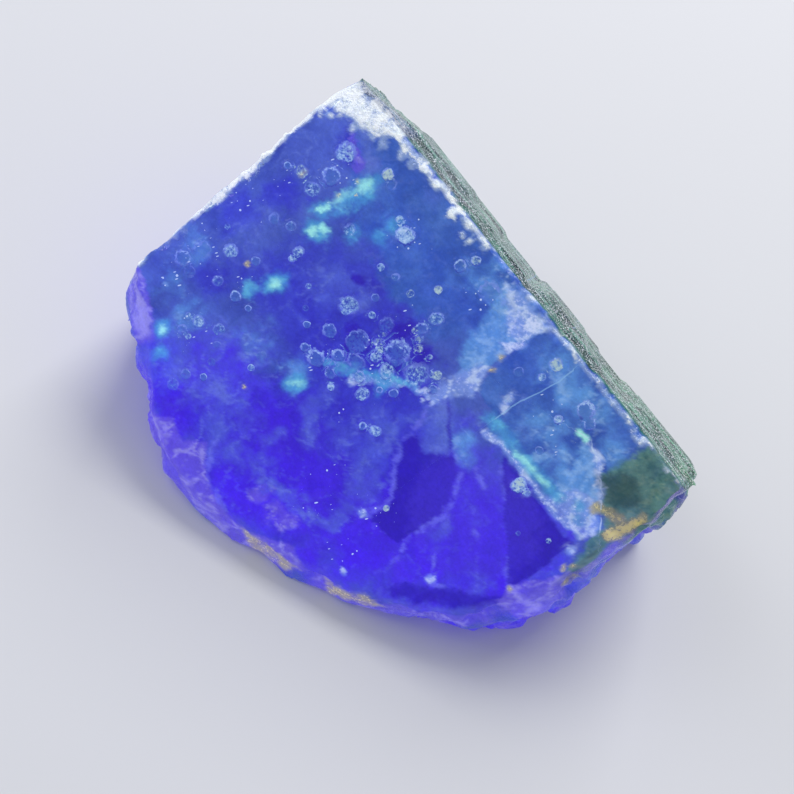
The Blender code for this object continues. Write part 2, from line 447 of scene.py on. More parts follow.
def stroke(mark: Mark, fade: float, strength: float, ragged: float, *points: tuple) -> Marking:
    """A marking along the line through these points."""
    return Marking(mark, Shape.STROKE, fade, strength, ragged, points)


def spots(mark: Mark, fade: float, strength: float, ragged: float, *points: tuple) -> Marking:
    """Round spots centred on these points."""
    return Marking(mark, Shape.SPOTS, fade, strength, ragged, points)


@dataclass(frozen=True)
class WideFace:
    """The wide growth face: its rim, its round growth pits and its markings."""

    rim: Path = (
        (-1.2, 0.0), (-1.2, 26.8), (0.3, 28.4), (2.2, 29.0), (4.6, 30.4), (7.5, 32.6),
        (10.6, 35.0), (14.5, 36.5), (19.0, 36.6), (23.7, 34.9), (26.5, 34.4), (29.6, 33.1),
        (32.6, 31.4), (35.0, 30.8), (38.2, 28.3), (41.0, 25.8), (42.9, 23.7), (44.0, 20.4),
        (45.7, 17.2), (46.2, 14.0), (46.2, 11.1), (46.2, 7.8), (46.8, 4.0), (46.0, 0.0),
    )  # fmt: skip
    # Growth pits: (A, B, radius, filling), where 0 is open, 1 is filled with pale clay.
    pits: tuple[tuple[float, float, float, float], ...] = (
        (3.8, 5, 0.92, 0.1), (4.5, 7.4, 0.83, 0.1), (4.3, 9.5, 0.75, 0.1), (2.4, 9.3, 0.65, 0.9),
        (7.7, 3.2, 0.55, 1), (8.7, 3.6, 0.46, 0.2), (4, 14, 0.57, 0), (5.6, 13.2, 0.47, 0.1),
        (12.9, 5.4, 0.82, 0.2), (3.7, 19.1, 0.68, 0.2), (1.8, 21.2, 0.88, 0.1),
        (1.2, 23.2, 0.78, 0.2), (2.6, 23.4, 0.59, 0.2), (7.8, 14.1, 0.57, 0.1),
        (15.2, 16.5, 0.66, 0.1), (17.6, 15, 1.03, 0), (18.1, 11.9, 0.74, 0.1),
        (20.7, 12.8, 1.21, 0), (19, 16.4, 0.85, 0), (16.3, 19.1, 0.86, 0.1), (23.4, 12.7, 1.2, 0),
        (21.7, 17.8, 0.66, 0.1), (25.1, 19, 0.57, 0.2), (9.7, 31.7, 0.6, 0.2),
        (6.7, 25.8, 0.59, 0.1), (8.5, 24.7, 0.59, 0), (13, 23.1, 0.48, 0.1),
        (21.7, 2.7, 0.99, 0.1), (18.2, 3.3, 0.54, 0.5), (18.7, 1.9, 0.45, 0.6),
        (20.6, 8, 0.64, 0.1), (20.4, 9.6, 0.55, 0.4), (30.5, 2.1, 0.62, 0.9),
        (28.9, 5.1, 0.45, 0.2), (35.4, 2.5, 0.79, 0.2), (36.6, 3.1, 0.53, 0.2),
        (34.5, 5, 0.45, 0.1), (30.4, 7.4, 0.45, 0.3), (37.1, 11.6, 0.73, 0.6),
        (35.7, 8.1, 0.36, 0.3), (17.3, 8.4, 0.4, 0.7), (18.6, 6.2, 0.38, 0.8),
        (19.8, 14.6, 0.5, 0.1), (5.9, 17.8, 0.42, 0.1), (15.5, 11.2, 0.4, 0.2),
        (5.6, 26.2, 0.34, 0.1), (6.2, 27.5, 0.44, 0.4), (7.1, 27.5, 0.32, 0.1),
        (9.5, 25.8, 0.42, 0.2), (10.4, 27.3, 0.38, 0.5), (7.9, 15, 0.34, 0.1),
        (5, 21.9, 0.52, 0.2), (7.2, 21.4, 0.5, 0.1), (13.7, 9, 0.36, 0.3), (15.3, 8.5, 0.42, 0.3),
        (11.5, 5, 0.34, 0.2), (9.3, 9.1, 0.6, 0.1), (1.8, 17.9, 0.32, 0.1), (1.2, 9.9, 0.36, 0.2),
        (10.8, 15.4, 0.3, 0.3), (12.2, 16.9, 0.32, 0.4), (8.8, 21.2, 0.32, 0.1),
        (23.4, 15.4, 0.42, 0.1), (17.8, 18.2, 0.42, 0.1), (18.6, 17.8, 0.6, 0.1),
        (13.2, 24.6, 0.34, 0.2), (9.7, 30, 0.5, 0.1), (11, 28.8, 0.34, 0.1), (24, 19.6, 0.4, 0.1),
        (30.6, 3.8, 0.4, 0.2), (31.4, 22.8, 0.3, 0.8), (38.1, 11.4, 0.34, 0.3),
        (42.8, 12.6, 0.26, 0.6), (40.6, 14.4, 0.24, 0.5), (14.6, 13.6, 0.9, 0),
        (18.9, 13.6, 0.45, 0.7), (19.5, 13.9, 0.4, 0.6), (21.4, 14.6, 0.72, 0),
        (21, 10.4, 0.42, 0.6), (21.7, 10.9, 0.36, 0.8), (20.2, 10.2, 0.34, 0.7),
        (17.4, 17.2, 0.62, 0.1), (18.3, 18.9, 0.52, 0.1), (20.2, 16.9, 0.55, 0.1),
        (22.9, 10.6, 0.3, 0.6), (24.6, 11.2, 0.46, 0.7), (25.4, 12.2, 0.4, 0.4),
        (18.6, 12.7, 0.34, 0.6), (16.6, 12.4, 0.36, 0.2), (14.9, 19.3, 0.42, 0.1),
        (19.3, 19.7, 0.38, 0.2), (22.4, 16.2, 0.36, 0.4), (13.4, 17.8, 0.34, 0.2),
    )  # fmt: skip
    pit_depth_share: float = 0.22
    crack: Path = (
        (36.3, 4.4), (37.7, 3.9), (39.4, 4.6), (40.9, 5.4), (42.3, 6.1), (43.4, 7.1), (45.2, 8.6),
    )  # fmt: skip
    scratch: Path = ((31.0, 9.4), (31.1, 6.6), (31.5, 4.8), (31.8, 2.9), (31.8, 1.2))
    markings: tuple[Marking, ...] = (
        # Where the body turns from violet-blue to blue and blue-green, towards the ridge.
        patch(Mark.VIOLET, 14, 0.95, 2.8, (5, 31), (10, 26), (18, 20), (26, 15.5), (34, 13),
            (44, 11), (48, 20), (32, 34), (14, 40), (0, 40)),
        spots(Mark.VIOLET, 4.5, 0.8, 1.5, (14, 27), (21, 28.5)),
        stroke(Mark.LILAC, 0.5, 0.72, 1.2, (3.4, 3.4), (4.4, 4.4), (5.4, 5)),
        patch(Mark.DEEP, 7, 0.85, 2, (7, 13), (14, 8), (20, 9.5), (24, 12), (29, 14), (31, 19),
            (24, 24), (12, 21), (5, 20)),
        spots(Mark.DEEP, 2.4, 0.75, 1.6, (1.3, 16.6), (4.3, 21.9), (8.6, 15.1), (3, 11.5), (10, 12),
            (4.1, 3.4), (15.5, 9.5), (16.5, 12.8), (14.6, 4.6)),
        patch(Mark.TEAL, 4, 0.72, 1.6, (1, 1), (5, 4), (8.5, 9), (13, 9), (16, 9.5), (19.5, 9),
            (24, 8), (27, 5), (27, -1), (8, -1)),
        patch(Mark.TEAL, 0.5, 0.85, 0.35, (27.6, 0.4), (27.3, 2), (27.6, 2.9), (27.4, 3.9),
            (27.3, 5.1), (27.5, 6.4), (27.8, 9), (30.2, 9.3), (34.6, 9.4), (39.2, 9.5), (42.2, 6.1),
            (41.5, 5.4), (43.5, -1), (28, -1)),
        # Films of bubbles at several depths.
        spots(Mark.HAZE, 2.8, 0.5, 1.5, (11.6, 14.6), (3, 17), (9, 26), (24, 22)),
        spots(Mark.HAZE, 2, 0.55, 1.5, (12.4, 13), (14.1, 12.1), (12, 22.6), (0.6, 8)),
        spots(Mark.HAZE, 3.6, 0.6, 1.8, (12.5, 28.5), (7.5, 29.5), (16.5, 31)),
        stroke(Mark.HAZE, 1.5, 0.85, 0.7, (27.1, 12.4), (28.4, 13.8), (30, 15.6)),
        spots(Mark.HAZE, 1.3, 0.85, 0.5, (31.2, 12.9), (31.8, 13.8)),
        patch(Mark.HAZE, 1.2, 0.62, 0.6, (35.7, 21.2), (35.4, 18.6), (36.5, 19.2), (37.2, 21.5)),
        patch(Mark.HAZE, 2.4, 0.42, 1.2, (26.4, 14), (27.4, 17.6), (28.9, 20.3), (31, 23.6),
            (28.6, 25.6), (23.4, 21.6), (22.6, 17.4)),
        stroke(Mark.HAZE, 1, 0.6, 1, (19.7, 19.3), (19.6, 22.5), (20.9, 23.9), (22.1, 24.2)),
        stroke(Mark.HAZE, 0.9, 0.85, 0.7, (4, 2.6), (4.9, 3.5), (6.1, 4.4)),
        # Painted highlights: the lit edges of the plates below the middle, fanning out from one
        # point.
        stroke(Mark.THREAD, 0.36, 0.85, 0.5, (26.4, 13.6), (27.4, 16.4), (27.5, 17.8), (28.9, 19.6),
            (30.9, 21.9), (31, 24.6)),
        stroke(Mark.THREAD, 0.38, 0.82, 0.55, (33.1, 15.2), (34.6, 17.3), (35.2, 18.9),
            (35.1, 20.4), (35.1, 23.5), (35.8, 25.8)),
        stroke(Mark.THREAD, 0.3, 0.42, 0.35, (33.9, 11.3), (36, 12.5), (38.8, 14.6), (41.7, 16.6),
            (44.2, 18.6)),
        stroke(Mark.THREAD, 0.24, 0.95, 0.35, (37.6, 22), (38.9, 23.4), (39.6, 24), (40.6, 23.2)),
        stroke(Mark.THREAD, 0.36, 0.8, 0.5, (33.4, 13.9), (34.3, 13.9), (35.4, 13.9)),
        stroke(Mark.THREAD, 0.3, 0.42, 0.35, (35.6, 15.8), (38.6, 17.8), (42.2, 20.4)),
        stroke(Mark.THREAD, 0.35, 0.7, 0.7, (16.4, 31.6), (17.6, 33.9), (19.2, 35.4), (23, 35.6)),
        # Clusters of fine knocks.
        spots(Mark.DUST, 2.6, 1, 1, (2.3, 21.4), (2.5, 25), (1.2, 15.3), (2.9, 10.3), (7.4, 20),
            (7.2, 26.2), (5, 7), (1, 18.6)),
        spots(Mark.DUST, 2.4, 0.85, 1, (18.7, 14.6), (18.3, 10.5), (13.1, 5.1), (16.4, 19),
            (21, 16), (21.4, 20.4), (22, 4.4), (33.2, 5), (35.8, 6.4)),
        patch(Mark.SKY, 1.6, 0.85, 0.9, (21.5, 0.5), (27.6, 0.5), (27.3, 2), (27.5, 3), (27.3, 4.6),
            (27.2, 7), (25.6, 9.6), (24.4, 8), (23.2, 5.4), (22.4, 3)),
        spots(Mark.SKY, 1.15, 0.75, 0.6, (32.9, 2.9), (34, 1.6), (31, 12.9), (32, 13.8)),
        patch(Mark.SKY, 1.2, 0.9, 0.7, (37.4, 3.6), (39, 8.4), (42, 8.8), (44.6, 8.4), (41.5, 5)),
        spots(Mark.SKY, 0.9, 0.7, 0.8, (38.6, 7.6), (37.2, 6.2), (36, 8.2)),
        spots(Mark.SKY, 2, 0.42, 1.5, (1.2, 22), (2.6, 25.4), (6, 26.5), (11.6, 22.6), (16, 21.8)),
        spots(Mark.SKY, 2.2, 0.52, 1.4, (20.6, 2.2), (30.6, 2), (36.2, 2), (34.4, 6.6), (40.2, 3),
            (38.6, 5.6)),
        # Clean breaks behind clear crystal: deep violet, with sharp sides.
        patch(Mark.DARK, 0.75, 0.92, 0.4, (33.9, 10.9), (35.2, 10.9), (39.1, 11.2), (43.1, 11.2),
            (44.6, 10.9), (44.3, 13.3), (44.6, 15.4), (44.2, 18.4), (38.8, 14.6)),
        patch(Mark.DARK, 1.3, 0.78, 0.6, (27.5, 16), (27.6, 17.8), (29, 19.5), (31, 21.8),
            (31.2, 24.6), (34.8, 24.4), (35, 20.9), (35, 18.8), (33, 15.6), (31, 14.6),
            (29.6, 16.6)),
        spots(Mark.DARK, 1.9, 0.65, 1.2, (17.4, 15), (20.7, 13.9), (19.4, 11.2), (22.3, 10.9)),
        spots(Mark.DARK, 0.9, 0.75, 0.8, (13.5, 11.4), (40, 25.6), (42.2, 23.2)),
        stroke(Mark.DARK, 0.36, 0.48, 0.4, (27.4, 12), (29.3, 13.5), (32.6, 15.9), (34.5, 17.3)),
        stroke(Mark.DARK, 1.1, 0.58, 0.9, (37.8, 27), (41.6, 23.4), (43.4, 21.4), (45.4, 18.4)),
        # The green corner at the ridge's far end.
        patch(Mark.GREEN, 2.2, 0.88, 0.7, (40.5, 5), (41, 3), (41.4, -1), (48, -1), (48, 7),
            (45.6, 8), (43.4, 6.9)),
        patch(Mark.GREEN, 1.5, 1.5, 0.5, (40.7, 5.4), (41.2, 3.8), (42.9, 2.4), (45.2, 3.6),
            (44.8, 5.2), (43.2, 6.5)),
        patch(Mark.HAZE, 0.8, 0.8, 0.5, (41, 3.6), (41.6, 1.6), (43, 1.4), (43.6, 2.8),
            (42.2, 3.4)),
        stroke(Mark.GREEN, 0.8, 0.9, 0.5, (45.6, 8.6), (46.3, 11), (47.2, 13.6)),
        # Milky veils; the band's lower side; the cloud that ends at the blue plate.
        patch(Mark.VEIL, 1.2, 0.72, 0.8, (21.6, 0.6), (23.2, 2.2), (25, 3.4), (26.2, 3.6),
            (27.4, 3), (27.3, 2), (27.6, 0.5)),
        patch(Mark.VEIL, 0.9, 1.1, 0.5, (25, 0.6), (25.6, 2.6), (27, 2.6), (27.5, 0.6)),
        patch(Mark.VEIL, 0.5, 0.95, 0.3, (25.6, 4.8), (26.3, 4.2), (27, 2.9), (27.6, 2.9),
            (27.4, 3.9), (27.2, 4.8)),
        patch(Mark.VEIL, 0.9, 0.62, 0.7, (25.3, 11.2), (25.5, 9.4), (26.2, 7.6), (27.3, 6.8),
            (27.5, 7.9), (27.9, 9.5), (27.2, 11.5), (26.4, 13.4), (25.2, 12.8)),
        stroke(Mark.VEIL, 0.45, 0.75, 0.9, (19.8, 17.6), (21.4, 15.8), (23.4, 14.4), (25.6, 12.9)),
        stroke(Mark.VEIL, 0.42, 0.85, 0.4, (31.2, 11), (33.2, 10.4), (35.6, 10.4), (38.9, 10.5),
            (41.5, 10.6), (44.2, 10)),
        patch(Mark.VEIL, 0.6, 0.62, 0.5, (39.6, 10), (40.6, 7.8), (41.9, 6.9), (43.6, 7.5),
            (45, 8.8), (44.3, 10.2), (41.5, 10.7)),
        spots(Mark.VEIL, 0.5, 0.8, 0.2, (39.2, 23.8), (30.3, 7.3), (30.7, 8.2), (37.2, 11.6),
            (38.1, 11.5), (44.7, 11.5)),
        spots(Mark.VEIL, 0.4, 0.62, 0.4, (33.6, 30), (30.4, 24.8)),
        stroke(Mark.HAZE, 1, 0.62, 1.6, (22.4, 30.6), (24.8, 29.6), (27.6, 29.7), (29.4, 27)),
        spots(Mark.LILAC, 1.2, 0.8, 1.6, (25.9, 31.2), (23.2, 32)),
        stroke(Mark.VEIL, 0.38, 0.75, 0.5, (37.7, 3.9), (39.2, 4.3), (41.1, 5.5), (43.1, 6.7)),
        spots(Mark.DUST, 2.4, 0.9, 1, (27, 28), (31, 24), (25.3, 24.7), (32.6, 29)),
        # Painted reflections: inner cleavages that catch the light, mint flashes with bright
        # middles.
        spots(Mark.MINT, 1, 0.92, 0.8, (7.4, 11.5), (6.2, 9.7), (8.5, 17.8), (7.6, 19.9)),
        patch(Mark.MINT, 1.8, 0.66, 0.9, (6, 9.6), (6.2, 7.6), (6.8, 5.4), (7.6, 4), (8.4, 6),
            (8, 8.6)),
        spots(Mark.MINT, 0.85, 0.75, 0.7, (5.1, 29.2), (6.5, 30.7), (17, 21.8), (16.4, 22.6)),
        spots(Mark.MINT, 0.9, 0.65, 0.7, (11.6, 7.3), (9.6, 9), (22, 15.6), (11.4, 5.6)),
        stroke(Mark.MINT, 0.75, 0.66, 0.5, (30.5, 9.9), (32.8, 9.6), (34.6, 9.8), (36.7, 9.6),
            (38.6, 9.5), (40.2, 9.4)),
        stroke(Mark.MINT, 0.4, 0.8, 1, (17.4, 18.3), (19.1, 17.5), (21.2, 15.6), (24.4, 13.7)),
        spots(Mark.MINT, 0.7, 0.45, 0.4, (41.9, 8.4), (43, 9.2)),
        spots(Mark.FLASH, 0.46, 1, 0.8, (7.2, 11.9), (7.7, 11), (6, 9.9), (6.3, 9.3)),
        spots(Mark.FLASH, 0.44, 0.9, 0.6, (8.6, 17.7), (5.1, 29.2)),
        stroke(Mark.FLASH, 0.6, 0.42, 0.9, (6.6, 8.2), (7.4, 5)),
        stroke(Mark.FLASH, 0.32, 0.85, 0.4, (36.6, 4.3), (37.5, 4.1)),
        stroke(Mark.FLASH, 0.3, 0.4, 0.5, (16.4, 22.6), (17.4, 21.4)),
        stroke(Mark.FLASH, 0.35, 0.46, 0.4, (34.6, 9.9), (36.7, 9.6), (38.6, 9.5)),
        # Knocks: the bruised apex, the ridge and the end face's ragged white edge.
        patch(Mark.CRUSH, 1.1, 1, 0.9, (-1.4, 2.4), (-0.4, 3.6), (1.4, 2.7), (2.5, 3), (4.4, 2.2),
            (6.1, 0.6), (6.4, -1.5), (-1.4, -1.5)),
        spots(Mark.CRUSH, 0.55, 0.75, 0.6, (2.6, 3.2), (5.4, 2), (7.2, 1.2), (-0.4, 4.6), (8.6, 1)),
        spots(Mark.CRUSH, 0.35, 0.9, 0.2, (0.3, 4), (0.8, 3.3)),
        stroke(Mark.CRUSH, 0.38, 1.05, 0.7, (6, 0.6), (9.5, 0.5), (12, 0.2), (18.2, 0.3)),
        spots(Mark.CRUSH, 0.4, 1.05, 0.9, (16, 1.3), (17.1, 1.1), (14.2, 0.9)),
        stroke(Mark.CRUSH, 0.25, 0.62, 0.4, (26.4, 0.2), (33, 0.2), (38.6, 0.3), (40.8, 0.4)),
        stroke(Mark.CRUSH, 0.5, 1.5, 0.35, (-0.7, 1.6), (-1.1, 4), (-1.2, 8.4), (-1.1, 10.2),
            (-0.9, 12.5), (-1.1, 14.7), (-0.8, 16.7), (-1.5, 19.8)),
        stroke(Mark.CRUSH, 0.34, 1.25, 0.3, (-1.5, 19.8), (-1.6, 25.2), (-1.2, 26.9)),
        # The rim: frosted lilac breaks, beige stain and tan clay.
        patch(Mark.LILAC, 0.5, 1, 0.35, (-1.3, 27), (0.2, 27.4), (2.8, 28.6), (5.2, 30.4),
            (4.4, 32.2), (0, 30.4)),
        patch(Mark.LILAC, 0.7, 0.8, 0.5, (12.1, 33.9), (14.3, 34.2), (16.2, 32.7), (17.8, 34.4),
            (19.6, 35.4), (22.5, 35.8), (25.3, 35.2), (28.4, 32.4), (31.6, 32.8), (30.2, 35.4),
            (26.8, 37.6), (15, 39.5), (9, 36.6)),
        patch(Mark.LILAC, 0.7, 0.75, 0.5, (36.5, 31.6), (39, 28.2), (43, 24.9), (44.4, 27),
            (39.5, 30.6)),
        patch(Mark.LILAC, 0.5, 0.95, 0.5, (43.8, 18.3), (45.2, 15.7), (46.4, 12.8), (49, 13.6),
            (48.6, 19.6), (45, 20.4)),
        patch(Mark.LILAC, 0.8, 1.75, 0.4, (-0.2, 28), (2.4, 28.7), (4.8, 30.4), (4.4, 31.8),
            (1.8, 30.9)),
        patch(Mark.STAIN, 1.4, 0.62, 0.8, (33.3, 32.4), (36.1, 30.4), (38.9, 29), (37.4, 31.6),
            (34.7, 33.4)),
        patch(Mark.STAIN, 0.7, 0.55, 0.6, (24.4, 35.6), (26.9, 34.4), (31.4, 33.4), (30.2, 35.2),
            (26.1, 36.8)),
        spots(Mark.STAIN, 0.36, 0.8, 0.5, (45.7, 13), (46.2, 12.2), (47, 14), (47.3, 13.2),
            (44.2, 18.4), (27.5, 7), (27, 5.6)),
        stroke(Mark.STAIN, 0.62, 1.35, 0.8, (45.8, 8.2), (46, 6.6), (46, 5)),
        stroke(Mark.STAIN, 0.7, 0.74, 0.6, (43, 7.1), (44.3, 6.6), (45.6, 6)),
        spots(Mark.STAIN, 0.26, 0.95, 0.2, (7.3, 6.7), (6.3, 7.9), (6.5, 5.8), (14.2, 26.3),
            (2.6, 9.2), (7.9, 3.4), (5.6, 18.6), (30.3, 2)),
    )  # fmt: skip


# ------------------------------------------------------------------------ the materials


@dataclass(frozen=True)
class Layer:
    """One colour laid over the body where a weight says, with an edge broken by noise."""

    weight: str
    colour: str
    grain: str
    reach: float = 0.6
    soft: float = 0.15
    level: float = 0.5
    strength: float = 1.0

    def span(self) -> tuple[float, float]:
        """The values of weight plus reach times noise where the share is 0 and 1."""
        middle = self.level + self.reach / 2
        return middle - self.soft, middle + self.soft


@dataclass(frozen=True)
class FluoriteFinish:
    """Natural fluorite: as-grown cube faces and octahedral cleavage breaks, unpolished.

    The grown faces give a soft glassy shine over a deep body, the breaks glint facet by
    facet, and daylight makes the inside glow violet-blue, given here as a painted glow.
    """

    body: str = "#2d3f9c"
    body_light: str = "#5872c2"
    black: str = "#000000"
    ior: float = 1.434
    transmission: float = 0.45
    absorption: str = "#5a2af0"
    absorption_per_metre: float = 110.0
    # Strength of the painted glow: the crystal emits its own colour, so it shines even where no
    # lamp reaches.
    glow: float = 0.5
    # What the eye sees inside the crystal, wider than about 0.4 mm: stored on the vertices.
    tints: tuple[Layer, ...] = (
        Layer("violet", "#4420e2", "cloud", 0.8, 0.50, 0.50),
        Layer("violet", "#5840e8", "drift", 0.9, 0.40, 1.05, 0.38),
        Layer("violet", "#3412be", "cloud", -1.3, 0.40, 1.00, 0.60),
        Layer("deep", "#3436bc", "cloud", 0.8, 0.40, 0.42, 0.85),
        Layer("deep", "#2a1fa8", "drift", -1.0, 0.45, 0.95, 0.55),
        Layer("teal", "#365fb4", "cloud", 0.7, 0.35, 0.42, 0.90),
        Layer("teal", "#26489e", "drift", -1.0, 0.40, 0.85, 0.50),
        Layer("teal", "#5a88ca", "drift", 1.0, 0.40, 0.90, 0.45),
        Layer("plate", "#3011b8", "mottle", 0.25, 0.10, 0.50, 0.35),
        Layer("wide", "#86a0de", "threads", 1.0, 0.30, 1.45, 0.14),
        Layer("haze", "#566cc6", "drift", 0.8, 0.45, 0.42, 0.65),
        Layer("haze", "#8aa4e2", "threads", 1.0, 0.40, 0.85, 0.22),
        Layer("sky", "#5f9ad8", "drift", 0.8, 0.40, 0.40, 0.80),
        Layer("sky", "#9cc4ea", "threads", 1.1, 0.35, 0.90, 0.50),
        Layer("dark", "#2a12a8", "drift", 0.25, 0.18, 0.45, 0.90),
        Layer("fan", "#4a38cc", "mottle", 0.8, 0.30, 0.60, 0.40),
        Layer("stepped", "#35825a", "mottle", 0.3, 0.20, 0.45, 0.97),
        Layer("stepped", "#1f5a40", "cloud", -1.3, 0.35, 1.00, 0.75),
        Layer("outer_steps", "#86cc9e", "drift", 1.2, 0.40, 0.90, 0.75),
        Layer("green", "#558c7a", "drift", 0.6, 0.25, 0.40, 0.92),
        Layer("green", "#7fb09a", "mottle", -1.6, 0.30, 0.72, 0.55),
        Layer("green", "#a5bf98", "threads", 1.2, 0.25, 1.25, 0.40),
        Layer("green", "#275f5c", "mottle", 0.8, 0.50, 1.10, 0.80),
        Layer("lilac", "#6656d2", "drift", 0.7, 0.30, 0.40, 0.75),
        Layer("lilac", "#aaa8e4", "threads", 1.3, 0.45, 1.10, 0.55),
        Layer("veil", "#7f9ce0", "drift", 0.9, 0.35, 0.38, 0.85),
        Layer("veil", "#c4d8f2", "threads", 1.4, 0.35, 0.80, 0.75),
        Layer("stain", "#b0aa7c", "mottle", 0.7, 0.25, 0.42, 0.82),
        # Painted highlight along the lit plate edges.
        Layer("thread", "#7a80ea", "mottle", 1.5, 0.40, 0.62, 0.50),
        # Painted reflections of inner cleavages: mint halos, threads and bright flash middles.
        Layer("mint", "#4a9ccc", "drift", 0.6, 0.42, 0.38, 0.85),
        Layer("mint", "#6cc8d8", "threads", 0.9, 0.40, 0.80, 0.50),
        Layer("flash", "#a6f6e2", "mottle", 0.9, 0.45, 0.45, 0.95),
        Layer("crush", "#8fa9cf", "mottle", 0.8, 0.25, 0.42, 0.85),
        Layer("crush", "#eef8f0", "drift", 2.0, 0.30, 0.90, 0.95),
    )
    # Shader noises: name, grain in mm, detail, and stretch along A, B and C.
    noises: tuple[tuple[str, float, float, tuple[float, float, float]], ...] = (
        ("mottle", 1.1, 3.0, (1.0, 1.0, 1.0)),
        ("grain", 0.32, 2.0, (1.0, 1.0, 1.0)),
        ("bubbles", 0.15, 1.0, (1.0, 1.0, 1.0)),
        ("stripes", 0.62, 3.0, (0.14, 1.0, 1.0)),
    )
    # How much of its strength each octave of a noise passes on.
    octave: float = 0.68
    # Colours finer than 0.4 mm, drawn by the shader.
    layers: tuple[Layer, ...] = (
        Layer("stepped", "#102a1b", "stripes", -2.8, 0.35, 1.06, 0.88),
        Layer("stepped", "#a2dab6", "stripes", 3.0, 0.34, 1.22, 0.88),
        # Painted sparkle highlights on the stepped face's growth steps.
        Layer("stepped", "#f6fdf8", "bubbles", 2.6, 0.14, 1.22, 1.0),
        Layer("veil", "#dbe3fa", "grain", 2.0, 0.30, 1.00, 0.60),
        # Painted shade on the far side of each pit's rim.
        Layer("pit_shade", "#221c96", "grain", 1.0, 0.35, 0.60, 0.60),
        Layer("pit_floor", "#4a74bc", "grain", 1.8, 0.45, 0.60, 0.62),
        # The frosted pit rims, made brighter on their lit side by a painted highlight.
        Layer("pit_rim", "#7d94e4", "mottle", 1.6, 0.45, 0.42, 0.80),
        Layer("pit_rim", "#a9cdf0", "grain", 2.4, 0.35, 0.85, 0.85),
        Layer("crust", "#7fb4d8", "grain", 2.4, 0.45, 0.85, 0.70),
        Layer("crust", "#c6e2f0", "grain", 2.2, 0.50, 1.02, 0.80),
        Layer("filling", "#b9d4c8", "grain", 2.2, 0.45, 0.70, 0.90),
        # Specks: tiny knocks, painted as bright glints, a painted highlight.
        Layer("speck", "#c4d8f6", "bubbles", 0.4, 0.30, 0.45, 0.90),
        Layer("stain", "#f2e08a", "grain", 1.8, 0.40, 0.90, 0.90),
        Layer("scratch", "#8fc0e6", "mottle", 1.6, 0.30, 0.70, 0.55),
        Layer("crack", "#c4dcf0", "mottle", 2.2, 0.30, 0.95, 0.70),
        Layer("crush", "#7f9ac8", "grain", -2.6, 0.50, 1.20, 0.50),
        Layer("crush", "#fafff6", "mottle", 3.0, 0.30, 1.02, 0.90),
    )

    # A share fades out where its weight is under this.
    fade_below: float = 0.3
    # How much lighter and darker the sum of grain and mottle makes the painted colour.
    uneven_sum: tuple[float, float] = (0.7, 1.3)
    uneven_light: tuple[float, float] = (0.87, 1.13)
    # Speck kinds: turn in degrees, stretch, cell in mm, largest reach in cells.
    speck_kinds: tuple[tuple[float, float, float, float], ...] = (
        (0.0, 1.0, 0.70, 0.34),
        (-66.0, 3.0, 0.48, 0.34),
    )
    # Specks: the luck a cell needs, the reach taken off all of them, and their soft edge.
    speck_luck: float = 0.62
    speck_loss: float = -0.06
    speck_edge: tuple[float, float] = (-0.02, 0.05)
    # Pits: how much of each noise is added to the radii, 1 on average in all.
    pit_wobble: tuple[tuple[str, float], ...] = (("grain", 0.46), ("mottle", 1.54))
    # The side of a pit where its rim is painted lit, a painted highlight; the other side gets
    # painted shade.
    lit_side: tuple[float, float, float] = (-0.75, -0.65, 0.0)
    # Weights that rise along a way: where each is 0 and 1, in bent radii, along the lit side
    # in radii, or in mm from the middle of a line.
    spans: tuple[tuple[str, str, float, float], ...] = (
        ("pit_floor", "radii", 2.02, 1.78),
        ("pit_ring", "radii", 1.56, 1.88),
        ("pit_out", "radii", 2.20, 1.96),
        # The pit rims' painted highlight and painted shade are set by the side of the pit.
        ("pit_rim", "side", -1.5, 0.7),
        ("pit_shade", "side", -0.1, -0.9),
        ("crack", "crack", 0.15, 0.0375),
        ("scratch", "scratch", 0.12, 0.03),
    )
    # Weights that are multiplied by another, in this order.
    products: tuple[tuple[str, str], ...] = (
        ("pit_floor", "pit_near"),
        ("pit_ring", "pit_near"),
        ("pit_out", "pit_near"),
        ("pit_ring", "pit_out"),
        ("pit_rim", "pit_ring"),
        ("pit_shade", "pit_ring"),
        ("crust", "pit_floor"),
        ("filling", "pit_floor"),
    )
    # Roughness: of clean faces, what the mottle adds, and what crushing or stain adds.
    clean_roughness: float = 0.08
    mottle_roughness: float = 0.2
    matt_roughness: float = 0.5
    # Height of the fine relief where a weight is 1, in mm.
    grain_relief: tuple[tuple[str, float], ...] = (
        ("crush", 0.35),
        ("fracture", 0.16),
        ("pit_near", 0.10),
        ("wide", 0.03),
    )
    step_relief: float = 0.55

    def painted_colour(self, weights: dict, noises: dict) -> Array:
        """Lays the tints over the body, for the vertices.

        The body is a mix of its two colours by the cloud noise. Each tint's share is the
        same smooth step as a shader layer's, and fades out where its weight is low.

        Args:
            weights: each weight's N values by name.
            noises: each noise's N values from 0 to 1 by name.

        Returns:
            N x 3 linear colours.
        """
        dark, light = (np.array(linear(code)[:3]) for code in (self.body, self.body_light))
        colour = dark + (light - dark) * noises["cloud"][:, None]
        for tint in self.tints:
            value = weights[tint.weight] + tint.reach * noises[tint.grain]
            share = tint.strength * smoothstep(value, *tint.span())
            share = share * np.clip(weights[tint.weight] / self.fade_below, 0, 1)
            colour += share[:, None] * (np.array(linear(tint.colour)[:3]) - colour)
        return colour

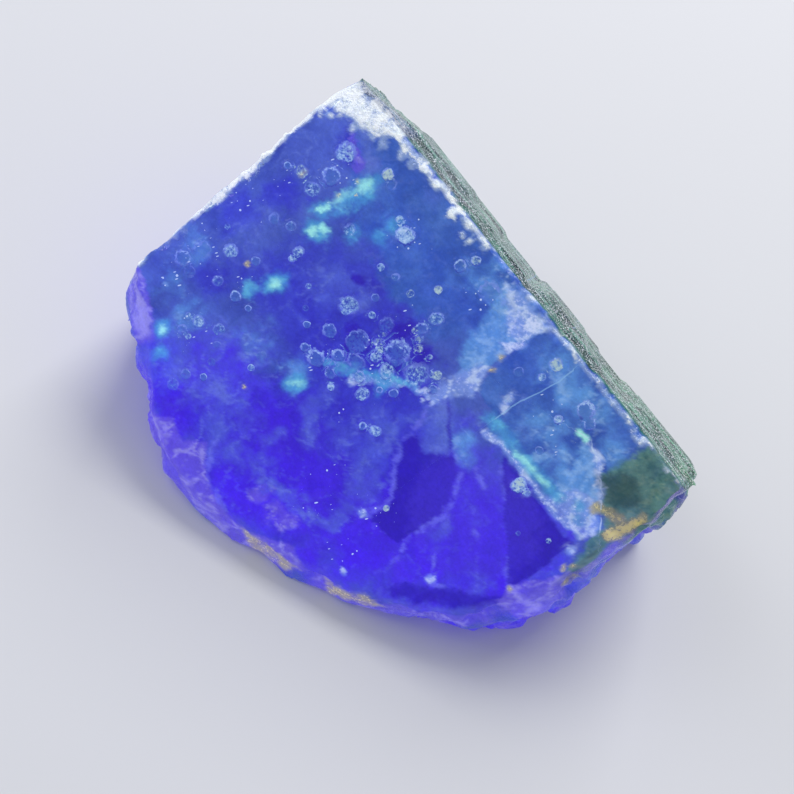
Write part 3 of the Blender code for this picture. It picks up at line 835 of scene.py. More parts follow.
    def build(self) -> bpy.types.Material:
        """Makes the node material.

        Returns:
            The material.
        """
        material = bpy.data.materials.new("fluorite_natural_growth_and_cleavage")
        material.use_nodes = True
        tree = material.node_tree
        tree.nodes.clear()
        crystal = self.crystal_coordinates(tree)
        noises = self.noise_sockets(tree, crystal)
        weights = self.weight_sockets(tree, crystal, noises)
        colour, shares = self.layered_colour(tree, noises, weights)
        # Painted glow: the emission is the colour itself, mixed towards black where dim is high.
        painted_glow_mix = {0: weights["dim"], 6: colour, 7: linear(self.black)}
        inputs = {
            "Base Color": colour,
            "Roughness": self.roughness(tree, noises, shares),
            "IOR": self.ior,
            "Transmission Weight": self.transmission,
            "Emission Color": add_node(tree, "Mix", RGBA, painted_glow_mix, 2),
            "Emission Strength": self.glow,
            "Normal": self.relief(tree, noises, weights),
        }
        surface = add_node(tree, "BsdfPrincipled", {}, inputs)
        inputs = {"Color": linear(self.absorption), "Density": self.absorption_per_metre}
        volume = add_node(tree, "VolumeAbsorption", {}, inputs)
        add_node(tree, "OutputMaterial", {}, {"Surface": surface, "Volume": volume})
        material.cycles.emission_sampling = "NONE"
        return material

    def crystal_coordinates(self, tree: Tree) -> Socket:
        """Takes Object coordinates into the crystal's own axes and millimetres.

        Args:
            tree: the material's node tree.

        Returns:
            The coordinates' socket.
        """
        inputs = {
            "Vector": add_node(tree, "TexCoord", out="Object"),
            "Location": [x * MM for x in AXES.apex],
            "Rotation": list(AXES.turn().to_euler()),
            "Scale": (MM, MM, MM),
        }
        return add_node(tree, "Mapping", TEXTURE, inputs)

    def noise_sockets(self, tree: Tree, crystal: Socket) -> dict:
        """Makes the fine noises that break up every edge and tint.

        Args:
            tree: the material's node tree.
            crystal: coordinates in crystal mm.

        Returns:
            Each noise's socket by name.
        """
        sockets = {}
        for name, size, detail, stretch in self.noises:
            inputs = {"Vector": crystal, "Scale": [s / size for s in stretch]}
            scaled = add_node(tree, "Mapping", {}, inputs)
            inputs = {"Vector": scaled, "Scale": 1.0, "Detail": detail, "Roughness": self.octave}
            sockets[name] = add_node(tree, "TexNoise", {}, inputs, "Fac")
        return sockets

    def weight_sockets(self, tree: Tree, crystal: Socket, noises: dict) -> dict:
        """Reads the painted weights, and works out those of pits, lines and specks.

        A pit is drawn from the offset to its centre in radii, so its rim stays sharp on
        any mesh: the rim's weight is 1 at about 0.9 radii and falls to 0 at 0.56 and 1.2.
        Noise bends it. A painted highlight makes it brightest towards the ridge and the end face,
        and painted shade darkens its other side.

        Args:
            tree: the material's node tree.
            crystal: coordinates in crystal mm.
            noises: the noises' sockets.

        Returns:
            Each weight's socket by name.
        """
        weights = {}
        for name, parts in PAINTED.items():
            source = add_node(tree, "Attribute", {"attribute_name": name}, {}, "Vector")
            split = add_node(tree, "SeparateXYZ", {}, {0: source}).node
            weights |= {part: split.outputs[k] for k, part in enumerate(parts)}
        flat = add_node(tree, "CombineXYZ", {}, {0: weights["pit_a"], 1: weights["pit_b"]})
        radii = add_node(tree, "VectorMath", {"operation": "LENGTH"}, {0: flat}, "Value")
        for noise, much in self.pit_wobble:
            radii = add_node(tree, "Math", MULTIPLY_ADD, {0: noises[noise], 1: much, 2: radii})
        lit = {0: flat, 1: self.lit_side}
        ways = {
            "radii": radii,
            "side": add_node(tree, "VectorMath", {"operation": "DOT_PRODUCT"}, lit, "Value"),
        }
        for line in ("crack", "scratch"):
            gap = {0: weights[line + "_gap"]}
            ways[line] = add_node(tree, "Math", {"operation": "ABSOLUTE"}, gap)
        for name, way, low, high in self.spans:
            inputs = {"Value": ways[way], "From Min": low, "From Max": high}
            weights[name] = add_node(tree, "MapRange", SMOOTH, inputs)
        for name, other in self.products:
            inputs = {0: weights[name], 1: weights[other]}
            weights[name] = add_node(tree, "Math", MULTIPLY, inputs)
        weights["speck"] = self.specks(tree, crystal, weights["dust"])
        return weights

    def specks(self, tree: Tree, crystal: Socket, dust: Socket) -> Socket:
        """Scatters tiny knocks over the grown faces, painted as bright glints, some round and some
        short dashes.

        Each kind has one speck per Voronoi cell, as large as the painted dust times a
        random share of the cell allows, so that most cells show none.

        Args:
            tree: the material's node tree.
            crystal: coordinates in crystal mm.
            dust: the painted weight of knocks.

        Returns:
            The specks' weight.
        """
        found = 0.0
        for turn, stretch, cell, most in self.speck_kinds:
            inputs = {"Vector": crystal, "Scale": (stretch * cell, cell, 1)}
            inputs["Rotation"] = (0, 0, math.radians(turn))
            placed = add_node(tree, "Mapping", TEXTURE, inputs)
            cells = {"Vector": placed, "Scale": 1.0, "Randomness": 1.0}
            settings = {"feature": "F1", "voronoi_dimensions": "2D"}
            away = add_node(tree, "TexVoronoi", settings, cells, "Distance")
            luck = add_node(tree, "SeparateXYZ", {}, {0: away.node.outputs["Color"]})
            inputs = {"Value": luck, "From Min": self.speck_luck, "From Max": 1.0, "To Max": most}
            size = add_node(tree, "MapRange", {}, inputs)
            inputs = {0: size, 1: dust, 2: self.speck_loss}
            reach = add_node(tree, "Math", MULTIPLY_ADD, inputs)
            within = add_node(tree, "Math", {"operation": "SUBTRACT"}, {0: reach, 1: away})
            low, high = self.speck_edge
            inputs = {"Value": within, "From Min": low, "From Max": high}
            share = add_node(tree, "MapRange", SMOOTH, inputs)
            found = add_node(tree, "Math", MAXIMUM, {0: found, 1: share})
        return found

    def layered_colour(self, tree: Tree, noises: dict, weights: dict) -> tuple[Socket, dict]:
        """Lays each fine colour over the painted one.

        The painted colour is first made lighter and darker by the grain. A layer's share
        is a smooth step of its weight plus reach times its noise, centred on its level, so
        a soft weight gets a broken edge like the real markings'. Low weights fade it out.

        Args:
            tree: the material's node tree.
            noises: the noises' sockets.
            weights: the weights' sockets.

        Returns:
            The colour's socket, and the last share of each weight by name.
        """
        colour = add_node(tree, "Attribute", {"attribute_name": TINT}, {}, "Color")
        inputs = {0: noises["grain"], 1: noises["mottle"]}
        uneven = add_node(tree, "Math", {"operation": "ADD"}, inputs)
        ends = dict(zip(("From Min", "From Max"), self.uneven_sum))
        ends |= dict(zip(("To Min", "To Max"), self.uneven_light))
        bright = add_node(tree, "MapRange", {}, {"Value": uneven, **ends})
        inputs = {0: colour, "Scale": bright}
        colour = add_node(tree, "VectorMath", {"operation": "SCALE"}, inputs)
        shares = {}
        for layer in self.layers:
            weight = weights[layer.weight]
            inputs = {"Value": weight, "From Max": self.fade_below, "To Max": layer.strength}
            most = add_node(tree, "MapRange", {}, inputs)
            inputs = {0: noises[layer.grain], 1: layer.reach, 2: weight}
            value = add_node(tree, "Math", MULTIPLY_ADD, inputs)
            low, high = layer.span()
            inputs = {"Value": value, "From Min": low, "From Max": high, "To Max": most}
            share = add_node(tree, "MapRange", SMOOTH, inputs)
            shares[layer.weight] = share
            over = {0: share, 6: colour, 7: linear(layer.colour)}
            colour = add_node(tree, "Mix", RGBA, over, 2)
        return colour, shares

    def roughness(self, tree: Tree, noises: dict, shares: dict) -> Socket:
        """Satin to glassy by the mottle, and matt where crushed or stained.

        Args:
            tree: the material's node tree.
            noises: the noises' sockets.
            shares: the layers' shares.

        Returns:
            The roughness's socket.
        """
        inputs = {0: noises["mottle"], 1: self.mottle_roughness, 2: self.clean_roughness}
        clean = add_node(tree, "Math", MULTIPLY_ADD, inputs)
        matt = add_node(tree, "Math", MAXIMUM, {0: shares["crush"], 1: shares["stain"]})
        inputs = {0: matt, 1: self.matt_roughness, 2: clean}
        return add_node(tree, "Math", MULTIPLY_ADD, inputs)

    def relief(self, tree: Tree, noises: dict, weights: dict) -> Socket:
        """Adds up the fine relief, in mm: growth ridges, crusty pits and fracture grain.

        Args:
            tree: the material's node tree.
            noises: the noises' sockets.
            weights: the weights' sockets.

        Returns:
            The bumped normal's socket.
        """
        depth = 0.0
        for where, much in self.grain_relief:
            inputs = {0: weights[where], 1: much, 2: depth}
            depth = add_node(tree, "Math", MULTIPLY_ADD, inputs)
        height = add_node(tree, "Math", MULTIPLY, {0: noises["grain"], 1: depth})
        inputs = {0: noises["stripes"], 1: weights["stepped"]}
        ridged = add_node(tree, "Math", MULTIPLY, inputs)
        inputs = {0: ridged, 1: self.step_relief, 2: height}
        height = add_node(tree, "Math", MULTIPLY_ADD, inputs)
        return add_node(tree, "Bump", {}, {"Height": height, "Distance": MM, "Strength": 1.0})


@dataclass(frozen=True)
class StudioFloorFinish:
    """Matt painted board, a pale neutral floor without a shine."""

    colour: str = "#d9d9dc"
    roughness: float = 0.9
    specular: float = 0.2

    def build(self) -> bpy.types.Material:
        """Makes the floor's node material.

        Returns:
            The material.
        """
        material = bpy.data.materials.new("matt_painted_board")
        material.use_nodes = True
        tree = material.node_tree
        shader = tree.nodes["Principled BSDF"]
        shader.inputs["Base Color"].default_value = linear(self.colour)
        shader.inputs["Roughness"].default_value = self.roughness
        shader.inputs["Specular IOR Level"].default_value = self.specular
        return material


# --------------------------------------------------------------------------- the crystal


@dataclass
class CrystalBody:
    """The whole crystal: its grown faces, its steps, its pits and its broken sides."""

    axes: CrystalAxes = AXES
    face: WideFace = WideFace()
    # The even mesh's spacing, and how near a plane a place counts as on it, in mm.
    voxel: float = 0.40
    flat_within: float = 0.04
    # Cleavage facets: size and relief in mm, and the seed of their layout.
    facet_sizes: tuple[tuple[float, float, int], ...] = ((3.4, 0.30, 11), (1.3, 0.12, 12))
    # A notch in the rim: its place, where its wear starts and is full, how strong the wear
    # is, how often it is done, and the filling's way and reach.
    notch: tuple[float, float, float] = (3.1, 31.7, 1.5)
    notch_worn_within: tuple[float, float] = (3.2, 1.7)
    notch_wear: float = 0.6
    notch_wear_rounds: int = 24
    notch_filling: tuple[float, float, float] = (-0.60, 0.74, -0.16)
    notch_reach: float = 1.3
    # The thin tip beside it, and the way it is worn back.
    notch_tip: tuple[float, float, float] = (1.62, 32.25, 1.95)
    tip_push: tuple[float, float, float] = (0.30, -0.36, 0.08)
    tip_reach: float = 0.6
    # Depths in mm: lumps out of the rim, chips along the end face's edge, the raggedness
    # of other edges, the growth steps, and the slow swells of the wide face.
    bite_mm: float = 0.75
    chip_mm: float = 0.75
    ragged_mm: float = 0.22
    step_mm: float = 0.16
    swell_mm: float = 0.03
    # How far noise shifts the markings' edges and bends the clouds, in mm.
    warp_mm: float = 0.8
    bend_mm: float = 1.2
    # A pit's raised lip: its height in mm and its half width in radii.
    lip_mm: float = 0.05
    lip_width: float = 0.22
    # Edges sharper than this, in degrees, are shaded as edges.
    sharp_from: float = 32.0

    def copy_of(self, node: bpy.types.Object) -> bpy.types.Object:
        """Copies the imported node, merges its loose triangles and turns it to crystal mm.

        Args:
            node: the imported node, which is left alone.

        Returns:
            A new object in crystal axes and millimetres.
        """
        merged = bmesh.new()
        merged.from_mesh(node.data)
        bmesh.ops.remove_doubles(merged, verts=merged.verts, dist=1e-7)
        mesh = bpy.data.meshes.new("fluorite")
        merged.to_mesh(mesh)
        merged.free()
        points = read_points(mesh)
        write_points(mesh, self.axes.to_crystal(points))
        made = bpy.data.objects.new("fluorite", mesh)
        bpy.context.scene.collection.objects.link(made)
        return made

    def remesh(self, crystal: bpy.types.Object) -> None:
        """Gives the copy an even mesh, flat on the grown face and on the foot.

        Voxels run along the crystal axes, so cube faces stay flat. The wide face is then
        divided once more for its pits.

        Args:
            crystal: the object to remesh, in crystal millimetres.
        """
        modifier = crystal.modifiers.new("voxels", "REMESH")
        modifier.mode = "VOXEL"
        modifier.voxel_size = self.voxel
        graph = bpy.context.evaluated_depsgraph_get()
        even = bpy.data.meshes.new_from_object(crystal.evaluated_get(graph))
        crystal.modifiers.clear()
        crystal.data = even
        points = read_points(even)
        points[np.abs(points[:, 2]) < self.flat_within, 2] = 0.0
        heights = self.axes.to_part(points)
        foot = heights[:, 2] < self.flat_within * MM
        heights[foot, 2] = 0.0
        points[foot] = self.axes.to_crystal(heights[foot])
        write_points(even, points)
        grown = bmesh.new()
        grown.from_mesh(even)
        wide = [f for f in grown.faces if all(abs(v.co.z) < 1e-6 for v in f.verts)]
        bmesh.ops.subdivide_edges(
            grown, edges=list({e for f in wide for e in f.edges}), cuts=1, use_grid_fill=True
        )
        bmesh.ops.triangulate(grown, faces=[f for f in grown.faces if len(f.verts) > 4])
        grown.to_mesh(even)
        grown.free()

    def face_weights(self, points: Array, normals: Array) -> tuple[Array, Array, Array, Array]:
        """Says how much each vertex belongs to the wide, stepped and end faces and the breaks.

        Args:
            points: N x 3 places, in crystal mm.
            normals: N x 3 outward normals.

        Returns:
            Four arrays of N shares from 0 to 1: wide, stepped, end and broken.
        """
        a, b, c = points.T
        wide = smoothstep(-normals[:, 2], 0.4, 0.8) * smoothstep(c, 0.9, 0.4)
        stepped = smoothstep(-normals[:, 1], 0.3, 0.7) * smoothstep(b, 1.0, 0.4)
        stepped = np.maximum(stepped, smoothstep(b, 0.5, -0.1) * smoothstep(c, 0.2, 0.6))
        end = smoothstep(-normals[:, 0], 0.4, 0.8) * smoothstep(a, -0.3, -0.9)
        broken = (1 - wide) * (1 - stepped) * (1 - end)
        return wide, stepped * (1 - wide), end * (1 - wide), broken

    def facets(self, points: Array, normals: Array, share: Array) -> Array:
        """Breaks a surface into flat cleavage facets.

        Seeds are spread about one size apart. Each point moves along its normal onto the
        plane through its nearest seed whose normal is the octahedral direction closest to
        the surface there. The step is held within the relief by a tanh.

        Args:
            points: N x 3 places, in crystal mm.
            normals: N x 3 outward normals.
            share: how much of the step each point takes.

        Returns:
            The moved places.
        """
        octants = np.array([(x, y, z) for x in (-1, 1) for y in (-1, 1) for z in (-1, 1)])
        octants = octants / math.sqrt(3)
        for size, relief, seed in self.facet_sizes:
            rng = np.random.default_rng(seed)
            order = rng.permutation(len(points))
            cells = np.floor(points[order] / size).astype(np.int64)
            _, first = np.unique(cells, axis=0, return_index=True)
            chosen = order[first]
            seeds = points[chosen] + rng.normal(0, size * 0.12, (len(chosen), 3))
            choice = normals[chosen] @ octants.T + rng.uniform(-0.3, 0.3, (len(chosen), 8))
            planes = octants[choice.argmax(axis=1)]
            own = nearest(points, seeds)
            lean = (planes[own] * normals).sum(axis=1)
            step = -((points - seeds[own]) * planes[own]).sum(axis=1) / np.maximum(lean, 0.35)
            step = relief * np.tanh(step / relief) * share
            points = points + normals * step[:, None]
        return points

    def soften(self, mesh: Mesh, points: Array, share: Array, rounds: int) -> Array:
        """Rounds a surface off, each place moving towards the mean of its neighbours.

        Args:
            mesh: the mesh whose edges say which vertices are neighbours.
            points: N x 3 places, in crystal mm.
            share: how much of the way each place goes, from 0 to 1.
            rounds: how many times.

        Returns:
            The moved places.
        """
        ends = np.empty(len(mesh.edges) * 2, np.int32)
        mesh.edges.foreach_get("vertices", ends)
        here, there = np.concatenate([ends.reshape(-1, 2), ends.reshape(-1, 2)[:, ::-1]]).T
        count = np.bincount(here, minlength=len(points))
        for _ in range(rounds):
            sums = [np.bincount(here, axis[there], len(points)) for axis in points.T]
            points = points + share[:, None] * (np.stack(sums, 1) / count[:, None] - points)
        return points

    def wear_notch(self, mesh: Mesh, points: Array) -> Array:
        """Wears the notch in the rim round, fills it out, and pushes its thin tip back.

        Both pushes are bell curves of the distance from their place.

        Args:
            mesh: the mesh, whose edges are needed.
            points: N x 3 places, in crystal mm.

        Returns:
            The moved places.
        """
        away = np.linalg.norm(points - np.array(self.notch), axis=1)
        inner = smoothstep(points[:, 2], 0.0, 0.6)
        worn = self.notch_wear * smoothstep(away, *self.notch_worn_within) * inner
        points = self.soften(mesh, points, worn, self.notch_wear_rounds)
        filled = inner * bell(away, self.notch_reach)
        points += filled[:, None] * np.array(self.notch_filling)
        from_tip = np.linalg.norm(points - np.array(self.notch_tip), axis=1)
        pushed = bell(from_tip, self.tip_reach)
        points += pushed[:, None] * np.array(self.tip_push)
        return self.soften(mesh, points, worn, 3)

    def face_relief(self, points: Array) -> Array:
        """Says how deep the wide face's pits and slow swells are at each vertex.

        A pit is a bowl, (1 - t squared) of the distance in radii t, inside a raised lip that
        is a narrow bell curve at t = 1. Both fade out towards the rim.

        Args:
            points: N x 3 places, in crystal mm.

        Returns:
            N depths, in mm.
        """
        a, b, c = points.T
        on_face = c < 1e-4
        swell = Noise.SWELLS.at(points)
        depth = np.where(on_face, self.swell_mm + self.swell_mm * swell, 0.0)
        for pit_a, pit_b, radius, _ in self.face.pits:
            t = np.hypot(a - pit_a, b - pit_b) / radius
            bowl = np.clip(1 - t * t, 0, 1) * self.face.pit_depth_share * radius
            lip = bell(t - 1.0, self.lip_width) * self.lip_mm
            depth += np.where(on_face, bowl - lip, 0.0)
        rim_gap = np.abs(path_distance(points[:, :2], self.face.rim, closed=True))
        return depth * smoothstep(rim_gap, 0.0, 0.8)

    def relief(self, mesh: Mesh) -> None:
        """Moves the vertices: breaks, facets, ragged and chipped edges, steps and pits.

        Lumps, facets and raggedness keep off the foot, so that the crystal lies flat.

        Args:
            mesh: the mesh, in crystal mm.
        """
        points = read_points(mesh)
        normals = read_normals(mesh)
        wide, stepped, _, broken = self.face_weights(points, normals)
        height = self.axes.to_part(points)[:, 2] / MM
        foot = smoothstep(height, 0.15, 1.4)
        points = self.wear_notch(mesh, points)
        points = self.soften(mesh, points, 0.5 * broken * foot, 3)
        bites = smoothstep(Noise.LUMPS.at(points), 0.05, 0.55)
        bites *= smoothstep(height, 0.8, 3.0) * smoothstep(points[:, 1], 1.0, 4.0)
        points = points - normals * (self.bite_mm * bites * broken)[:, None]
        a, b, c = points.T
        share = broken * foot * smoothstep(c, 1.0, 5.0) * smoothstep(a, -1, 7)
        moved = self.facets(points, normals, share)
        ragged = Noise.RAGGED_EDGES.at(points) * self.ragged_mm
        edge = smoothstep(np.abs(c), 2.5, 0.2) * (1 - wide) * foot * (1 - stepped)
        moved += normals * (ragged * edge)[:, None]
        chips = smoothstep(Noise.EDGE_CHIPS.at(points), 0.05, 0.55)
        chips *= self.chip_mm * bell(c, 0.55) * smoothstep(b, 1.0, 3.0)
        moved[:, 0] += chips * smoothstep(a, -0.1, -0.7) * (1 - stepped)
        steps = Noise.STEPS.at(np.stack([a * 0.06, c, b * 0.2], 1)) * self.step_mm
        moved += normals * (steps * stepped * foot)[:, None]
        moved[:, 2] += self.face_relief(points)
        write_points(mesh, moved)

    def marking_weights(self, points: Array, near: Array) -> dict:
        """Works out how strongly each kind of marking shows at each vertex.

        Places are bent by a rough noise first, so that outlines come out ragged.

        Args:
            points: N x 3 places, in crystal mm.
            near: how close each vertex is to the wide face, from 0 to 1.

        Returns:
            N weights by the marking kind's lower-case name.
        """
        warps = [noise.at(points) for noise in (Noise.WARP_ALONG, Noise.WARP_DOWN)]
        warp = self.warp_mm * np.stack(warps, 1)
        weights = {mark.name.lower(): np.zeros(len(points)) for mark in Mark}
        for marking in self.face.markings:
            name = marking.mark.name.lower()
            found = marking.weight(points[:, :2], warp) * near
            weights[name] = np.maximum(weights[name], found)
        return weights

    def add_wear(self, weights: dict, points: Array, grown: Array, broken: Array) -> None:
        """Adds what follows the crystal's shape: frosted breaks, bruised edges and haze.

        Args:
            weights: the weights so far, changed in place.
            points: N x 3 places, in crystal mm.
            grown: how much each vertex belongs to the wide face and the end face.
            broken: how much it belongs to the breaks.
        """
        _, b, c = points.T
        deep = smoothstep(c, 1.5, 4.0)
        patchy = Noise.PATCHES.at(points)
        # Frost lies on the breaks in patches, and in a band just under the rim.
        rim_gap = np.abs(path_distance(points[:, :2], self.face.rim, closed=True))
        near_rim = bell(rim_gap, 1.3) * smoothstep(c, 3.5, 0.5)
        near_rim *= 0.8 * smoothstep(b, 14.0, 24.0) * smoothstep(patchy, -0.7, 0.1)
        frosted = np.maximum(broken * smoothstep(patchy, -0.3, 0.5) * 0.8, near_rim * (1 - grown))
        # The ridge is chipped, 0.3 mm wide on the wide face and 0.4 mm on the stepped one.
        edges = bell(b, 0.30) * bell(c, 0.4)
        chips = smoothstep(Noise.RIDGE_CHIPS.at(points), -0.25, 0.35)
        deep_haze = smoothstep(Noise.DEEP_HAZE.at(points), 0.0, 0.9)
        # Bruises reach 2 mm into the crystal at most, and further at the apex.
        reach = 1.0 + 2.4 * smoothstep(b, 5.5, 1.5)
        depth = (c + 0.7 * Noise.BRUISE_DEPTH.at(points)) / reach
        weights["crush"] *= smoothstep(depth, 2.0, 0.5)
        more = {
            "lilac": frosted,
            "green": smoothstep(b, 9.0, 2.0) * broken * deep * 0.8,
            "violet": smoothstep(b, 6.0, 22.0) * deep * 0.8,
            "crush": edges * (0.35 + 0.85 * chips),
            "haze": 0.44 * deep_haze * grown * (1 - 0.8 * weights["deep"]),
        }
        for name, weight in more.items():
            weights[name] = np.maximum(weights[name], weight)

    def painted_noises(self, points: Array, bent: Array) -> dict:
        """Makes the wide noises that break up the painted tints.

        Args:
            points: N x 3 places, in crystal mm.
            bent: the same places, shifted by a slow noise so that clouds look blown.

        Returns:
            Each noise's N values from 0 to 1 by name.
        """
        noises = {
            "cloud": 0.5 + 0.50 * Noise.CLOUD.at(bent),
            "drift": 0.5 + 0.50 * Noise.DRIFT.at(bent),
            "mottle": 0.5 + 0.45 * Noise.MOTTLE.at(points),
            "threads": 1.5 * thread_noise(bent, size=3.0, seed=161),
        }
        return {name: np.clip(noise, 0, 1) for name, noise in noises.items()}

    def pit_weights(self, points: Array) -> dict:
        """Finds each vertex's own pit, and what the material has to know about it.

        Args:
            points: N x 3 places, in crystal mm.

        Returns:
            N values by name: the offset to the pit's centre in radii, how near the pit is,
            and how full of clay or growth crust it is.
        """
        pits = np.array(self.face.pits)
        scaled = np.hypot(*(points[:, None, :2] - pits[None, :, :2]).transpose(2, 0, 1))
        scaled /= pits[:, 2]
        own = scaled.argmin(axis=1)
        offset = (points[:, :2] - pits[own, :2]) / pits[own, 2:3]
        strength, crusted = np.random.default_rng(7).uniform((0.55, 0.0), 1.0, (len(pits), 2)).T
        return {
            "pit_a": offset[:, 0],
            "pit_b": offset[:, 1],
            "pit_near": smoothstep(scaled.min(axis=1), 1.75, 1.45) * strength[own],
            "filling": smoothstep(pits[own, 3], 0.35, 0.8),
            "crust": smoothstep(crusted[own], 0.35, 0.75),
        }

    def paint(self, mesh: Mesh, finish: FluoriteFinish) -> None:
        """Stores the colour and the weights that the material reads.

        Args:
            mesh: the mesh, in crystal mm.
            finish: the finish whose tints are laid.
        """
        points = read_points(mesh)
        wide, stepped, end, broken = self.face_weights(points, read_normals(mesh))
        a, b, c = points.T
        near = smoothstep(c, 4.0, 1.5)
        weights = self.marking_weights(points, near)
        self.add_wear(weights, points, wide + end, broken)
        bends = (Noise.BEND_ALONG, Noise.BEND_DOWN, Noise.BEND_IN)
        bent = points + self.bend_mm * np.stack([noise.at(points) for noise in bends], 1)
        # Inner cleavage plates: the cells round 160 seeds in a box round the crystal.
        rng = np.random.default_rng(171)
        plates = rng.uniform((-4, -2, -4), (50, 40, 30), (160, 3))
        tint = rng.uniform(0, 1, len(plates))
        # Both lines sway a little, and lie far off away from the wide face.
        sway = Noise.SWAY.at(points) * 0.22
        beyond = np.where(near > 0.5, 0.0, 9.0)
        dust = smoothstep(Noise.KNOCKS.at(points), -0.3, 0.5)
        dust = np.maximum(0.24 * dust * smoothstep(b, 26.0, 10.0), 0.8 * weights["dust"])
        weights |= self.pit_weights(points)
        fan = smoothstep(np.hypot(a - 37.0, b - 16.5), 9.0, 4.0) * smoothstep(b, 10.6, 11.6)
        outer = smoothstep(c, 1.5, 6.0) + 0.8 * smoothstep(a, 40.0, 45.0)
        weights |= {
            "wide": wide,
            "stepped": stepped * smoothstep(c, 0.35, 0.75),
            "fracture": broken,
            "plate": tint[nearest(bent, plates)] * weights["violet"],
            "fan": fan * wide,
            "pit_near": wide * weights["pit_near"],
            "crack_gap": path_distance(points[:, :2], self.face.crack) + sway + beyond,
            "scratch_gap": path_distance(points[:, :2], self.face.scratch) + 0.4 * sway + beyond,
            "dust": dust * (wide + end),
            "outer_steps": stepped * outer,
        }
        # dim: how much the painted glow is lowered, on the stepped face and the green corner.
        weights["dim"] = 0.8 * np.maximum(weights["stepped"], np.clip(weights["green"], 0, 1))
        stored = {TINT: finish.painted_colour(weights, self.painted_noises(points, bent))}
        for name, parts in PAINTED.items():
            stored[name] = np.stack([weights[part] for part in parts], 1)
        for name, columns in stored.items():
            attribute = mesh.attributes.new(name, "FLOAT_VECTOR", "POINT")
            attribute.data.foreach_set("vector", columns.astype(np.float32).ravel())

    def build(self, node: bpy.types.Object, finish: FluoriteFinish) -> bpy.types.Object:
        """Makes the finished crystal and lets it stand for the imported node.

        Args:
            node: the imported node.
            finish: the material to give it.

        Returns:
            The crystal's object, in the part's frame.
        """
        low, high = (np.array(corner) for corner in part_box(node.name))
        crystal = self.copy_of(node)
        self.remesh(crystal)
        mesh = crystal.data
        self.relief(mesh)
        self.paint(mesh, finish)
        placed = np.clip(self.axes.to_part(read_points(mesh)), low, high)
        write_points(mesh, placed)
        mesh.shade_smooth()
        mesh.set_sharp_from_angle(angle=math.radians(self.sharp_from))
        mesh.materials.clear()
        mesh.materials.append(finish.build())
        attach(crystal, "root")
        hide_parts(node.name)
        triangles = sum(len(face.vertices) - 2 for face in mesh.polygons)
        log.info("crystal: %d vertices, %d triangles", len(mesh.vertices), triangles)
        return crystal


def read_points(mesh: Mesh) -> Array:
    """Reads where the vertices are.

    Args:
        mesh: the mesh to read.

    Returns:
        N x 3 places, in the mesh's own unit.
    """
    flat = np.empty(len(mesh.vertices) * 3)
    mesh.vertices.foreach_get("co", flat)
    return flat.reshape(-1, 3)


def read_normals(mesh: Mesh) -> Array:
    """Reads which way the surface faces at the vertices.

    Args:
        mesh: the mesh to read.

    Returns:
        N x 3 outward normals.
    """
    flat = np.empty(len(mesh.vertices) * 3, np.float32)
    mesh.vertex_normals.foreach_get("vector", flat)
    return flat.reshape(-1, 3).astype(float)


def write_points(mesh: Mesh, points: Array) -> None:
    """Puts an N x 3 array into the mesh's vertices."""
    mesh.vertices.foreach_set("co", points.ravel())
    mesh.update()


# ---------------------------------------------------------------------------- the studio


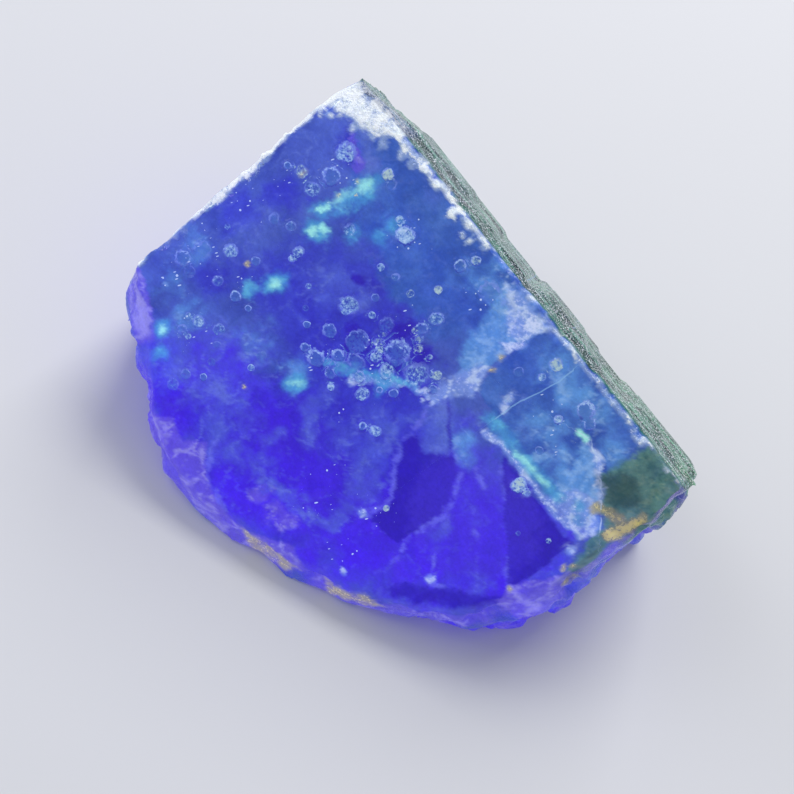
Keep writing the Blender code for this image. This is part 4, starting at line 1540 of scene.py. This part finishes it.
@dataclass
class Studio:
    """A pale floor, soft lights and the camera."""

    floor_half: float = 3.0
    # The height the soft boxes face, in metres.
    aim_height: float = 0.012
    # The camera: its place in crystal mm, and its own directions along the crystal's axes.
    lens_mm: float = 51.24
    sensor_mm: float = 36.0
    camera_at: tuple[float, float, float] = (23.857, -7.104, -101.593)
    camera_right: tuple[float, float, float] = (0.6221, -0.7645, 0.1688)
    camera_down: tuple[float, float, float] = (0.7829, 0.6074, -0.1342)
    camera_ahead: tuple[float, float, float] = (0.0, 0.2156, 0.9765)
    # How near and how far it sees, in metres.
    sight: tuple[float, float] = (0.005, 20.0)
    world_colour: str = "#dfe3ea"
    world_strength: float = 0.55
    # Soft boxes: name, place in metres, size in metres, watts and colour.
    boxes: tuple[tuple[str, tuple[float, float, float], float, float, str], ...] = (
        ("key_behind", (-0.10, 0.42, 0.50), 0.40, 3.2, "#ffffff"),
        ("fill_left", (-0.45, -0.15, 0.35), 0.40, 0.9, "#eef2ff"),
    )

    def floor(self) -> bpy.types.Object:
        """Makes the floor, a flat square at height 0.

        Returns:
            The floor's object, marked as stage.
        """
        half = self.floor_half
        corners = [(-half, -half, 0), (half, -half, 0), (half, half, 0), (-half, half, 0)]
        mesh = bpy.data.meshes.new("studio_floor")
        mesh.from_pydata(corners, [], [(0, 1, 2, 3)])
        mesh.materials.append(StudioFloorFinish().build())
        made = bpy.data.objects.new("studio_floor", mesh)
        bpy.context.scene.collection.objects.link(made)
        return made

    def lights(self) -> None:
        """Hangs the soft boxes, each facing the crystal, and lights the room evenly."""
        for name, place, size, watts, colour in self.boxes:
            lamp = bpy.data.lights.new(name, "AREA")
            lamp.size = size
            lamp.energy = watts
            lamp.color = linear(colour)[:3]
            made = bpy.data.objects.new(name, lamp)
            made.location = place
            aim = Vector((0, 0, self.aim_height)) - Vector(place)
            made.rotation_euler = aim.to_track_quat("-Z", "Y").to_euler()
            bpy.context.scene.collection.objects.link(made)
        world = bpy.data.worlds.new("studio_room")
        world.use_nodes = True
        room = world.node_tree.nodes["Background"]
        room.inputs["Color"].default_value = linear(self.world_colour)
        room.inputs["Strength"].default_value = self.world_strength
        bpy.context.scene.world = world

    def camera(self) -> bpy.types.Object:
        """Sets up the camera, looking almost square onto the wide face from above.

        Returns:
            The camera's object.
        """
        data = bpy.data.cameras.new("studio_camera")
        data.lens = self.lens_mm
        data.sensor_width = self.sensor_mm
        data.clip_start, data.clip_end = self.sight
        made = bpy.data.objects.new("studio_camera", data)
        turn = AXES.turn()
        right, down, ahead = (
            turn @ Vector(v) for v in (self.camera_right, self.camera_down, self.camera_ahead)
        )
        place = Matrix.Translation(Vector(AXES.to_part(np.array([self.camera_at]))[0]))
        made.matrix_world = place @ Matrix((right, -down, -ahead)).transposed().to_4x4()
        bpy.context.scene.collection.objects.link(made)
        bpy.context.scene.camera = made
        return made

    def build(self) -> None:
        """Makes the floor, the lights and the camera."""
        self.floor()
        self.lights()
        self.camera()
        bpy.context.scene.view_settings.view_transform = "Standard"


def main() -> None:
    """Builds the studio and the crystal."""
    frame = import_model()
    bpy.context.view_layer.update()
    studio = Studio()
    studio.build()
    log.info("studio: floor, %d soft boxes, camera", len(studio.boxes))
    CrystalBody().build(frame["nodes"]["fluorite_crystal"], FluoriteFinish())
    bpy.context.view_layer.update()


if __name__ == "__main__":
    main()
